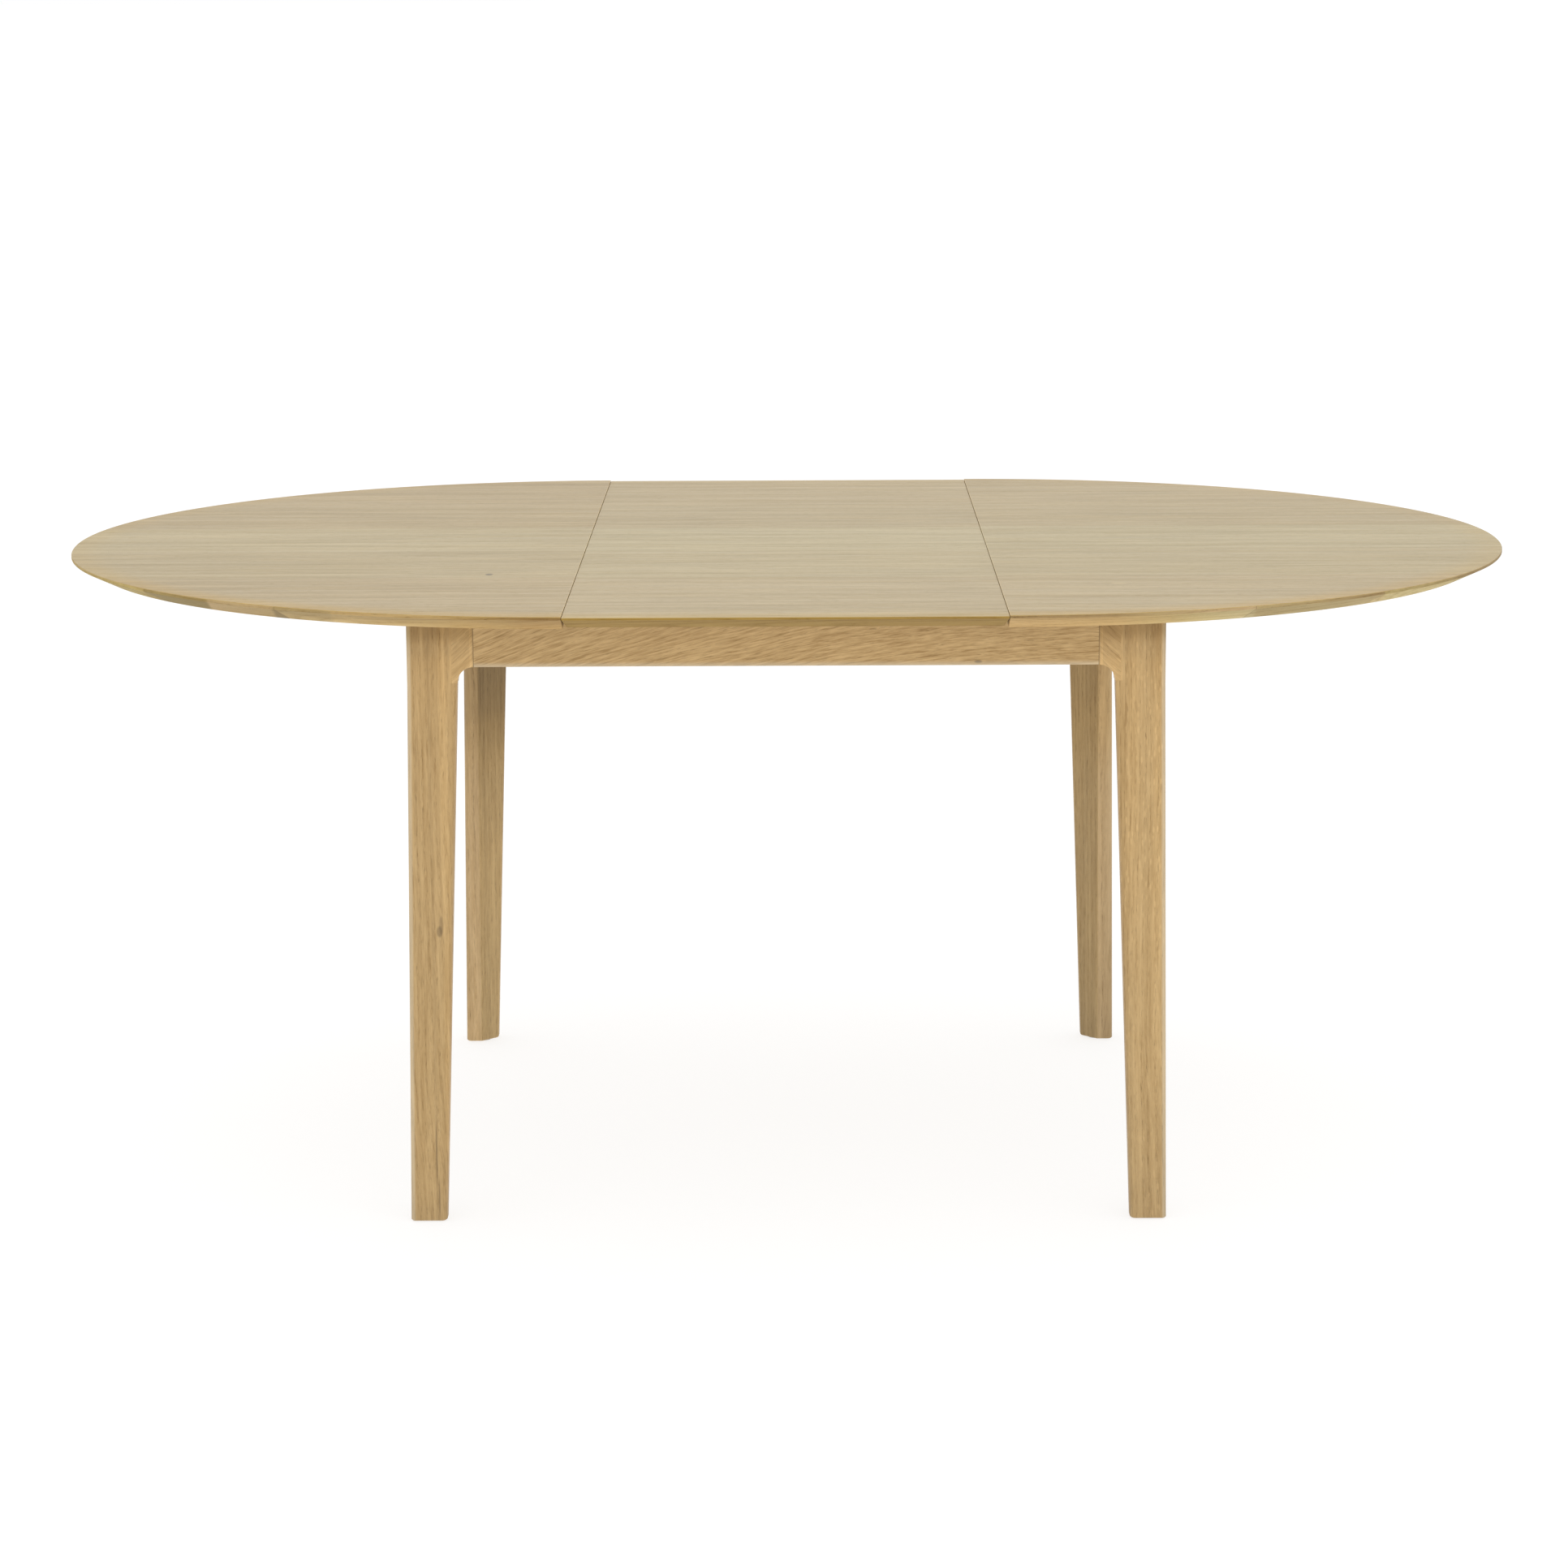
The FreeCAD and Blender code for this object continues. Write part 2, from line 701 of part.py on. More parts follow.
tongue_mid = (runner_low + under) / 2
for name, sy in (("guide_rail_front", -1), ("guide_rail_rear", 1)):
    body = new_body(name + "_body")
    sketch = new_sketch(body, "YZ_Plane", name + "_section", 0)
    mid = sy * D["rail_mid"]
    lo, hi = tongue_mid - D["tongue_tall"] / 2, tongue_mid + D["tongue_tall"] / 2
    left, right = mid - rail_half, mid + rail_half
    reach = D["tongue_deep"]
    polygon(
        sketch,
        [
            (left, bearer_top),
            (right, bearer_top),
            (right, lo),
            (right + reach, lo),
            (right + reach, hi),
            (right, hi),
            (right, rail_top),
            (left, rail_top),
            (left, hi),
            (left - reach, hi),
            (left - reach, lo),
            (left, lo),
        ],
    )
    pad(body, sketch, inner * 2, name + "_bar", middle=True)
    node(name, drilled(name, body, [rail_screws]))

# slide pads under the runners, on the bearers
pads = []
for sx in (-1, 1):
    for sy in (-1, 1):
        for tag, mid in (("outer", runner_mid_left), ("inner", runner_mid_right)):
            x, y = sx * D["bearer_mid"], sy * mid
            pads.append(
                block(
                    "slide_pad_%s_%d" % (tag, len(pads) + 1),
                    (x - 20, x + 20),
                    (y - 10, y + 10),
                    (bearer_top, runner_low),
                )
            )
node("slide_pads", group("slide_pads", pads))

# felt pads on the aprons' upper edges, under the tops
felts = []
mid_apron = out - D["apron_thick"] / 2
for sy in (-1, 1):
    for x in (-330.0, -110.0, 110.0, 330.0):
        felts.append(
            block(
                "felt_%d" % (len(felts) + 1),
                (x - 25, x + 25),
                (sy * mid_apron - 7, sy * mid_apron + 7),
                (head_top, under),
            )
        )
for sx in (-1, 1):
    for y in (-110.0, 110.0):
        felts.append(
            block(
                "felt_%d" % (len(felts) + 1),
                (sx * mid_apron - 7, sx * mid_apron + 7),
                (y - 25, y + 25),
                (head_top, under),
            )
        )
node("felt_pads", group("felt_pads", felts))

# glides under the feet
glides = []
foot_mid = D["foot_half"] - D["foot_width"] / 2 + 1.5
for sx in (-1, 1):
    for sy in (-1, 1):
        glides.append(
            rod("glide_%d" % (len(glides) + 1), sx * foot_mid, sy * foot_mid, 0, D["leg_foot"], 13.0)
        )
node("foot_glides", group("foot_glides", glides))

# ---------------------------------------------------------------- synchroniser: pinion between two racks
plate_screws = screws(
    "plate_screws",
    [(sx * 38.0, sy * 10.0) for sx in (-1, 1) for sy in (-1, 1)],
    plate_top - 14,
    plate_top,
    plate_top + 1.4,
    2.0,
    4.0,
    upward=False,
)
node("base_screws", group("base_screws", [rail_screws, board_screws, bracket_screws, plate_screws]))
axle_low = board_top
axle = rod("pinion_axle_pin", 0, 0, axle_low, gear_top + 2.2, D["axle_round"])
node("pinion_axle", axle)
board = block(
    "mechanism_board_blank",
    (-D["bearer_mid"] - bearer_half, D["bearer_mid"] + bearer_half),
    (-60, 60),
    (bearer_top, board_top),
)
node("mechanism_board", drilled("mechanism_board", board, [board_screws, plate_screws]))
plate = block("mechanism_plate_blank", (-50, 50), (-50, 50), (board_top, plate_top))
node("mechanism_plate", drilled("mechanism_plate", plate, [plate_screws, axle]))
spacer = rod("pinion_spacer_disc", 0, 0, plate_top, gear_low, 8.0)
clip = rod("axle_clip_disc", 0, 0, gear_top + 0.3, gear_top + 1.5, 8.0)
node(
    "axle_washers",
    drilled("axle_washers", group("axle_washers_blank", [spacer, clip]), [axle]),
)
guides = [
    block(
        "rack_guide_%d" % (1 if sy < 0 else 2),
        (-40, 40),
        (
            (-D["rack_back"] - 10, -D["rack_back"] - 0.3)
            if sy < 0
            else (D["rack_back"] + 0.3, D["rack_back"] + 10)
        ),
        (plate_top, gear_top - 0.5),
    )
    for sy in (-1, 1)
]
node("rack_guides", group("rack_guides", guides))

module, teeth = D["gear_module"].value, int(D["gear_teeth"].value)
pitch_radius = D["gear_module"] * D["gear_teeth"] / 2
press = math.radians(20.0)
addendum, dedendum = 0.8, 1.25  # in modules
tooth_pitch = D["gear_module"] * math.pi


def involute_half_angle(radius):
    """Half the angle that a pinion tooth covers at a radius."""
    base = pitch_radius.value * math.cos(press)

    def inv(a):
        return math.tan(a) - a

    at_pitch = (math.pi * module / 2 - D["backlash"].value) / (2 * pitch_radius.value)
    if radius <= base:
        return at_pitch + inv(press)
    return at_pitch + inv(press) - inv(math.acos(base / radius))


pinion = new_body("pinion_gear")
root_radius = pitch_radius - D["gear_module"] * dedendum
sketch = new_sketch(pinion, "XY_Plane", "pinion_blank", gear_low)
nxt = circle(sketch, 0, 0, root_radius)
circle(sketch, 0, 0, D["axle_round"] + D["axle_play"], nxt)
pad(pinion, sketch, D["gear_tall"], "pinion_disc")
sketch = new_sketch(pinion, "XY_Plane", "pinion_tooth_outline", gear_low)
tip = pitch_radius.value + addendum * module
foot_r = root_radius.value
radii = [foot_r - 0.8, foot_r + 0.6] + [
    foot_r + 0.6 + (tip - foot_r - 0.6) * i / 5.0 for i in range(1, 6)
]
side = [(r, involute_half_angle(r)) for r in radii]
outline = [(r * math.cos(-a), r * math.sin(-a)) for r, a in side] + [
    (r * math.cos(a), r * math.sin(a)) for r, a in reversed(side)
]
polygon(sketch, outline)
tooth = pad(pinion, sketch, D["gear_tall"], "pinion_tooth")
doc.recompute()
ring = pinion.newObject("PartDesign::PolarPattern", "pinion_teeth")
ring.Originals = [tooth]
ring.Axis = (origin_feature(pinion, "Z_Axis"), [""])
ring.Angle = 360.0
ring.Occurrences = teeth
pinion.Tip = ring
# a tooth points along +Y and -Y, into a space of each rack
pinion.Placement = Placement(Vector(0, 0, 0), Rotation(Vector(0, 0, 1), 90.0))
node("pinion", pinion)


RACK_TEETH = 50


def make_rack(name, turn, drill):
    """The left rack, on the -Y side of the pinion; the right one is the same piece turned half round."""
    body = new_body(name + "_body")
    sketch = new_sketch(body, "XY_Plane", name + "_back", gear_low)
    root = -pitch_radius - D["gear_module"] * dedendum
    polygon(
        sketch,
        [(-410, -D["rack_back"]), (30, -D["rack_back"]), (30, root), (-410, root)],
    )
    pad(body, sketch, D["gear_tall"], name + "_bar")
    sketch = new_sketch(body, "XY_Plane", name + "_tooth_outline", gear_low)
    mid = tooth_pitch * 3.5
    thick = tooth_pitch / 2 - D["backlash"]
    slope = math.tan(press)
    up, down = D["gear_module"] * addendum, D["gear_module"] * dedendum
    low_half = thick / 2 + down * slope
    high_half = thick / 2 - up * slope
    polygon(
        sketch,
        [
            (mid - low_half, root - 1),
            (mid + low_half, root - 1),
            (mid + low_half, root),
            (mid + high_half, -pitch_radius + up),
            (mid - high_half, -pitch_radius + up),
            (mid - low_half, root),
        ],
    )
    tooth = pad(body, sketch, D["gear_tall"], name + "_tooth")
    doc.recompute()
    row = body.newObject("PartDesign::LinearPattern", name + "_teeth")
    row.Originals = [tooth]
    row.Direction = (origin_feature(body, "X_Axis"), [""])
    row.Reversed = True
    row.Length = tooth_pitch.value * (RACK_TEETH - 1)
    row.setExpression("Length", (tooth_pitch * (RACK_TEETH - 1)).text)
    row.Occurrences = RACK_TEETH
    body.Tip = row
    body.Placement = Placement(Vector(0, 0, 0), Rotation(Vector(0, 0, 1), turn))
    return node(name, drilled(name, body, [drill]))


# ---------------------------------------------------------------- halves
def segment_profile(sketch, radius_text):
    """Section of the solid edge: small arris, upright land, then a bevel that runs in under the top."""
    r = D["top_radius"]
    polygon(
        sketch,
        [
            (r - D["edge_width"], under),
            (r - D["edge_inset"], under),
            (r, top - D["edge_land"]),
            (r, top - D["arris"]),
            (r - D["arris"], top),
            (r - D["edge_width"], top),
        ],
    )


# segment boundaries, degrees round each half's own centre, from the rear seam to the front seam
RIGHT_JOINTS = [90.0, 44.0, 2.0, -47.0, -64.2, -90.0]
LEFT_JOINTS = [90.0, 133.0, 178.0, 219.2, 239.2, 270.0]


def make_half(side, sign, joints):
    centre_x = sign * half
    mid_y = runner_mid_left if sign < 0 else runner_mid_right
    plate_rows = (290.0, 480.0) if sign < 0 else (335.0, 525.0)

    run_x = [sign * 300.0, sign * 450.0, sign * 600.0]
    runner_screws = screws(
        "runner_screws_" + side,
        [(x, sy * mid_y) for x in run_x for sy in (-1, 1)],
        runner_low,
        runner_low + 4,
        under + 12,
        2.5,
        5.0,
    )
    rack_mid = 28.0
    rack_screws = screws(
        "rack_screws_" + side,
        [(sign * 380.0, sign * rack_mid), (sign * 300.0, sign * rack_mid)],
        gear_low - 2.4,
        gear_low,
        under + 10,
        2.0,
        4.0,
    )
    plate_places = [
        (sign * (half + 12), sy * y) for y in plate_rows for sy in (-1, 1)
    ] + [(sign * (half + 30), sy * y) for y in plate_rows for sy in (-1, 1)]
    seam_screws = screws(
        "seam_screws_" + side,
        plate_places,
        under - D["felt_thick"] - 1.2,
        under - D["felt_thick"],
        under + 9,
        1.75,
        3.5,
    )
    all_screws = node(
        "top_screws_" + side,
        group("top_screws_" + side, [runner_screws, rack_screws, seam_screws]),
    )

    # veneered board
    body = new_body("top_body_" + side)
    sketch = new_sketch(body, "XY_Plane", "top_outline_" + side, under)
    r = D["top_radius"] - D["edge_width"]
    # the straight side lies on the seam, the arc on the outside; drawn about the half's own centre
    sketch.addGeometry(
        Part.LineSegment(Vector(0, -r.value, 0), Vector(0, r.value, 0)), False
    )
    first, last = (math.pi / 2, 3 * math.pi / 2) if sign < 0 else (-math.pi / 2, math.pi / 2)
    sketch.addGeometry(
        Part.ArcOfCircle(Part.Circle(Vector(0, 0, 0), Vector(0, 0, 1), r.value), first, last),
        False,
    )
    sketch.addConstraint(Sketcher.Constraint("Coincident", 1, 3, -1, 1))
    sketch.addConstraint(Sketcher.Constraint("PointOnObject", 0, 1, -2))
    sketch.addConstraint(Sketcher.Constraint("PointOnObject", 0, 2, -2))
    if sign < 0:
        sketch.addConstraint(Sketcher.Constraint("Coincident", 1, 1, 0, 2))
        sketch.addConstraint(Sketcher.Constraint("Coincident", 1, 2, 0, 1))
    else:
        sketch.addConstraint(Sketcher.Constraint("Coincident", 1, 1, 0, 1))
        sketch.addConstraint(Sketcher.Constraint("Coincident", 1, 2, 0, 2))
    index = sketch.addConstraint(Sketcher.Constraint("Radius", 1, r.value))
    sketch.renameConstraint(index, "radius")
    sketch.setExpression("Constraints.radius", r.text)
    pad(body, sketch, D["half_thick"], "top_board_" + side)
    body.setExpression("Placement.Base.x", centre_x.text)
    node("top_" + side, drilled("top_" + side, body, [all_screws]))

    # solid edge in segments
    for count in range(5):
        a, b = joints[count], joints[count + 1]
        name = "edge_%s_%d" % (side, count + 1)
        piece = new_body(name + "_body")
        sketch = new_sketch(piece, "XZ_Plane", name + "_section", 0)
        segment_profile(sketch, r.text)
        turn = piece.newObject("PartDesign::Revolution", name + "_sweep")
        turn.Profile = sketch
        turn.ReferenceAxis = (origin_feature(piece, "Z_Axis"), [""])
        turn.Angle = abs(a - b)
        turn.Midplane = True
        piece.Placement = Placement(
            Vector(centre_x.value, 0, 0), Rotation(Vector(0, 0, 1), (a + b) / 2)
        )
        piece.setExpression("Placement.Base.x", centre_x.text)
        if count in (0, 4):
            node(name, drilled(name, piece, [all_screws]))
        else:
            node(name, piece)

    # runners: grooved on the side that faces the guide rail
    for place, sy in (("front", -1), ("rear", 1)):
        name = "runner_%s_%s" % (side, place)
        body = new_body(name + "_body")
        start = -D["runner_out"] if sign < 0 else -D["runner_in"]
        sketch = new_sketch(body, "YZ_Plane", name + "_section", start)
        y = sy * mid_y
        w = D["runner_wide"] / 2
        # side of the groove: towards the rail
        g = 1 if y.value < sy * D["rail_mid"].value else -1
        wall, far = y + g * w, y - g * w
        deep = D["tongue_deep"] + 0.5
        lo = tongue_mid - D["tongue_tall"] / 2 - 0.2
        hi = tongue_mid + D["tongue_tall"] / 2 + 0.2
        polygon(
            sketch,
            [
                (far, runner_low),
                (wall, runner_low),
                (wall, lo),
                (wall - g * deep, lo),
                (wall - g * deep, hi),
                (wall, hi),
                (wall, under),
                (far, under),
            ],
        )
        pad(body, sketch, D["runner_out"] + D["runner_in"], name + "_bar")
        node(name, drilled(name, body, [all_screws]))

    # stop blocks under the runners, against the bearer when fully open
    stops = []
    edge = D["bearer_mid"] - bearer_half
    for sy in (-1, 1):
        y = sy * mid_y
        x0 = -edge if sign < 0 else edge - D["stop_wide"]
        stops.append(
            block(
                "stop_%s_%d" % (side, len(stops) + 1),
                (x0, x0 + D["stop_wide"]),
                (y - 12, y + 12),
                (runner_low - 20, runner_low),
            )
        )
    node("stop_blocks_" + side, group("stop_blocks_" + side, stops))

    # plates screwed under the half, reaching under the leaf's edge
    plates = []
    for y in plate_rows:
        for sy in (-1, 1):
            x0 = sign * (half + 40)
            x1 = sign * (half - 25)
            lo, hi = (x0, x1) if sign < 0 else (x1, x0)
            plates.append(
                block(
                    "seam_plate_%s_%d" % (side, len(plates) + 1),
                    (lo, hi),
                    (sy * y - 18, sy * y + 18),
                    (under - D["felt_thick"], under),
                )
            )
    node(
        "seam_plates_" + side,
        drilled("seam_plates_" + side, group("seam_plates_blank_" + side, plates), [all_screws]),
    )

    # packing block between the half and its rack
    lo, hi = (-400, -270) if sign < 0 else (270, 400)
    ya, yb = (-40, -16) if sign < 0 else (16, 40)
    packer = block("rack_block_blank_" + side, (lo, hi), (ya, yb), (gear_top, under))
    node("rack_block_" + side, drilled("rack_block_" + side, packer, [all_screws]))
    make_rack("rack_" + side, 0 if sign < 0 else 180, all_screws)


make_half("left", -1, LEFT_JOINTS)
make_half("right", 1, RIGHT_JOINTS)

# ---------------------------------------------------------------- leaf
# Its seam edges slope in below a narrow land, so that it lifts clear while the halves start to close.
leaf_top = top - D["leaf_drop"]
wide_top = half - D["seam_gap"]
land_low = top - D["seam_gap"] * D["lift_ratio"]
wide_low = half - D["half_thick"] / D["lift_ratio"] - 0.1


def leaf_section(sketch):
    polygon(
        sketch,
        [
            (-wide_low, under),
            (wide_low, under),
            (wide_top, land_low),
            (wide_top, leaf_top),
            (-wide_top, leaf_top),
            (-wide_top, land_low),
        ],
    )


core_end = D["top_radius"] - D["edge_width"]
body = new_body("leaf_core_body")
sketch = new_sketch(body, "XZ_Plane", "leaf_core_section", 0)
leaf_section(sketch)
pad(body, sketch, core_end * 2, "leaf_core_board", middle=True)
cleat_screws = node(
    "cleat_screws",
    screws(
        "cleat_screws",
        [(x, sy * 151.0) for x in (-40.0, 40.0) for sy in (-1, 1)],
        under - 20,
        under - 17,
        under + 10,
        2.0,
        4.0,
    ),
)
node("leaf", drilled("leaf", body, [cleat_screws]))
for name, sy in (("leaf_edge_front", -1), ("leaf_edge_rear", 1)):
    across = new_body(name + "_ends")
    sketch = new_sketch(across, "XZ_Plane", name + "_ends_section", 0)
    leaf_section(sketch)
    pad(across, sketch, D["top_radius"] * 2 + 20, name + "_ends_pad", middle=True)
    along = new_body(name + "_strip")
    sketch = new_sketch(along, "YZ_Plane", name + "_strip_section", 0)
    r = D["top_radius"]
    polygon(
        sketch,
        [
            (sy * (r - D["edge_width"]), under),
            (sy * (r - D["leaf_inset"]), under),
            (sy * r, top - D["edge_land"]),
            (sy * r, leaf_top - D["arris"]),
            (sy * (r - D["arris"]), leaf_top),
            (sy * (r - D["edge_width"]), leaf_top),
        ],
    )
    pad(along, sketch, D["leaf_width"] + 10, name + "_strip_pad", middle=True)
    common = doc.addObject("Part::Common", name)
    common.Base, common.Tool = across, along
    node(name, common)

# cleats under the leaf, beside the inner runners, keep it in line
cleat_out = runner_mid_right - D["runner_wide"] / 2 - 0.3
cleats = []
for sy in (-1, 1):
    a, b = sy * cleat_out, sy * (cleat_out - 20)
    lo, hi = (a, b) if sy < 0 else (b, a)
    cleats.append(
        block("leaf_cleat_%d" % (len(cleats) + 1), (-60, 60), (lo, hi), (under - 20, under))
    )
node("leaf_cleats", drilled("leaf_cleats", group("leaf_cleats_blank", cleats), [cleat_screws]))

# ---------------------------------------------------------------- check and write
doc.recompute()
faults = []
for thing in doc.Objects:
    if "Invalid" in thing.State or "Error" in thing.State:
        faults.append("%s: %s" % (thing.Name, thing.State))
for name, thing in NODES.items():
    shape = thing.Shape
    if shape.isNull() or not shape.isValid() or not shape.Solids:
        faults.append("%s: bad shape" % name)
if faults:
    raise RuntimeError("\n".join(faults))

os.makedirs("parts", exist_ok=True)
for name in os.listdir("parts"):
    if name.endswith(".step") and name[:-5] not in NODES:
        os.remove(os.path.join("parts", name))
for name, thing in NODES.items():
    shape = thing.Shape
    thing.Shape.exportStep("parts/%s.step" % name)
    box = shape.BoundBox
    print(
        "%-26s %3d solids %12.1f mm3  x %8.2f %8.2f  y %8.2f %8.2f  z %7.2f %7.2f"
        % (
            name,
            len(shape.Solids),
            shape.Volume,
            box.XMin,
            box.XMax,
            box.YMin,
            box.YMax,
            box.ZMin,
            box.ZMax,
        )
    )
print(len(NODES), "nodes")
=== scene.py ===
import math

import bmesh
import bpy
from mathutils import Matrix, Vector


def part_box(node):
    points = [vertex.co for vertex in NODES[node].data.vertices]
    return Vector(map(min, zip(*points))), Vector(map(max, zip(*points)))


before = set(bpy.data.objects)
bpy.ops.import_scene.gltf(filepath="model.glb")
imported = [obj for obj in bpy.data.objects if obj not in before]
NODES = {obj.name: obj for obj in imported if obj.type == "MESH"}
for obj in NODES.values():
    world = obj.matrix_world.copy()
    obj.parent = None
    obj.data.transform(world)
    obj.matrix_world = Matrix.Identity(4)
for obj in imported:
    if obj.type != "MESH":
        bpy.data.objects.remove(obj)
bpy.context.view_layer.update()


# ---------------------------------------------------------------- shader expressions
# A small way to write node trees as sums: an Expr is a socket of the tree it was made in.
class Expr:
    def __init__(self, tree, socket):
        self.tree, self.socket = tree, socket

    def _math(self, op, *others, clamp=False):
        return self.tree.math(op, self, *others, clamp=clamp)

    def __add__(self, o):
        return self._math("ADD", o)

    __radd__ = __add__

    def __sub__(self, o):
        return self._math("SUBTRACT", o)

    def __rsub__(self, o):
        return self.tree.math("SUBTRACT", o, self)

    def __mul__(self, o):
        return self._math("MULTIPLY", o)

    __rmul__ = __mul__

    def __truediv__(self, o):
        return self._math("DIVIDE", o)

    def __neg__(self):
        return self._math("MULTIPLY", -1.0)


class Tree:
    """One material's node tree."""

    def __init__(self, name):
        self.mat = bpy.data.materials.new(name)
        self.mat.use_nodes = True
        self.nt = self.mat.node_tree
        self.nt.nodes.clear()
        self.out = self.nt.nodes.new("ShaderNodeOutputMaterial")
        self.bsdf = self.nt.nodes.new("ShaderNodeBsdfPrincipled")
        self.nt.links.new(self.bsdf.outputs[0], self.out.inputs[0])
        self._coord = None

    def put(self, value, socket):
        if isinstance(value, Expr):
            self.nt.links.new(value.socket, socket)
        elif isinstance(value, (tuple, list, Vector)) and len(value) == 3 and socket.type == "RGBA":
            socket.default_value = (*value, 1.0)
        else:
            socket.default_value = value

    def math(self, op, *args, clamp=False):
        n = self.nt.nodes.new("ShaderNodeMath")
        n.operation, n.use_clamp = op, clamp
        for i, a in enumerate(args):
            self.put(a, n.inputs[i])
        return Expr(self, n.outputs[0])

    def coord(self):
        if self._coord is None:
            n = self.nt.nodes.new("ShaderNodeTexCoord")
            self._coord = Expr(self, n.outputs["Object"])
        return self._coord

    def normal(self):
        n = self.nt.nodes.new("ShaderNodeTexCoord")
        return Expr(self, n.outputs["Normal"])

    def dot(self, vector, axis):
        n = self.nt.nodes.new("ShaderNodeVectorMath")
        n.operation = "DOT_PRODUCT"
        self.put(vector, n.inputs[0])
        n.inputs[1].default_value = tuple(axis)
        return Expr(self, n.outputs["Value"])

    def shift(self, vector, offset):
        n = self.nt.nodes.new("ShaderNodeVectorMath")
        n.operation = "ADD"
        self.put(vector, n.inputs[0])
        n.inputs[1].default_value = tuple(offset)
        return Expr(self, n.outputs[0])

    def vector(self, x, y, z):
        n = self.nt.nodes.new("ShaderNodeCombineXYZ")
        for i, a in enumerate((x, y, z)):
            self.put(a, n.inputs[i])
        return Expr(self, n.outputs[0])

    def noise(self, vector, scale=1.0, detail=2.0, rough=0.5, distort=0.0, lacunarity=2.0):
        n = self.nt.nodes.new("ShaderNodeTexNoise")
        self.put(vector, n.inputs["Vector"])
        n.inputs["Scale"].default_value = scale
        n.inputs["Detail"].default_value = detail
        n.inputs["Roughness"].default_value = rough
        n.inputs["Distortion"].default_value = distort
        n.inputs["Lacunarity"].default_value = lacunarity
        return Expr(self, n.outputs["Fac"])

    def voronoi(self, vector, scale=1.0, feature="F1", output="Distance", randomness=1.0):
        n = self.nt.nodes.new("ShaderNodeTexVoronoi")
        n.feature = feature
        self.put(vector, n.inputs["Vector"])
        n.inputs["Scale"].default_value = scale
        n.inputs["Randomness"].default_value = randomness
        return Expr(self, n.outputs[output])

    def ramp(self, value, stops, mode="LINEAR"):
        """stops are (place, grey or colour)."""
        n = self.nt.nodes.new("ShaderNodeValToRGB")
        cr = n.color_ramp
        cr.interpolation = mode
        while len(cr.elements) < len(stops):
            cr.elements.new(0.5)
        for e, (place, colour) in zip(cr.elements, sorted(stops, key=lambda s: s[0])):
            e.position = place
            if not isinstance(colour, (tuple, list)):
                colour = (colour,) * 3
            e.color = (*colour[:3], 1.0)
        self.put(value, n.inputs[0])
        return Expr(self, n.outputs[0])

    def step(self, value, low, high, a=0.0, b=1.0, smooth=True):
        """a below low, b above high."""
        n = self.nt.nodes.new("ShaderNodeMapRange")
        n.interpolation_type = "SMOOTHSTEP" if smooth else "LINEAR"
        self.put(value, n.inputs["Value"])
        for name, v in (("From Min", low), ("From Max", high), ("To Min", a), ("To Max", b)):
            self.put(v, n.inputs[name])
        return Expr(self, n.outputs[0])

    def mix(self, share, a, b, mode="MIX"):
        n = self.nt.nodes.new("ShaderNodeMix")
        n.data_type, n.blend_type = "RGBA", mode
        self.put(share, n.inputs[0])
        self.put(a, n.inputs[6])
        self.put(b, n.inputs[7])
        return Expr(self, n.outputs[2])

    def scale(self, colour, factor):
        """A colour times a grey factor."""
        n = self.nt.nodes.new("ShaderNodeVectorMath")
        n.operation = "SCALE"
        self.put(colour, n.inputs[0])
        self.put(factor, n.inputs["Scale"])
        return Expr(self, n.outputs[0])

    def bump(self, height, strength, distance):
        n = self.nt.nodes.new("ShaderNodeBump")
        n.inputs["Strength"].default_value = strength
        n.inputs["Distance"].default_value = distance
        self.put(height, n.inputs["Height"])
        self.nt.links.new(n.outputs[0], self.bsdf.inputs["Normal"])

    def set(self, **inputs):
        for name, value in inputs.items():
            self.put(value, self.bsdf.inputs[name.replace("_", " ")])


def srgb(r, g, b):
    """A colour from 0-255 display values."""
    return tuple(
        (v / 12.92 if v <= 0.04045 else ((v + 0.055) / 1.055) ** 2.4)
        for v in (r / 255.0, g / 255.0, b / 255.0)
    )


# ---------------------------------------------------------------- wood
def tones(red, green, blue, spread=0.24):
    """The light and dark ends of a wood whose mean is the display colour given."""
    mean = srgb(red, green, blue)
    light = tuple(m * (1 + spread * k) for m, k in zip(mean, (0.78, 1.02, 1.5)))
    dark = tuple(m * (1 - spread * k) for m, k in zip(mean, (0.92, 1.05, 1.4)))
    return light, dark


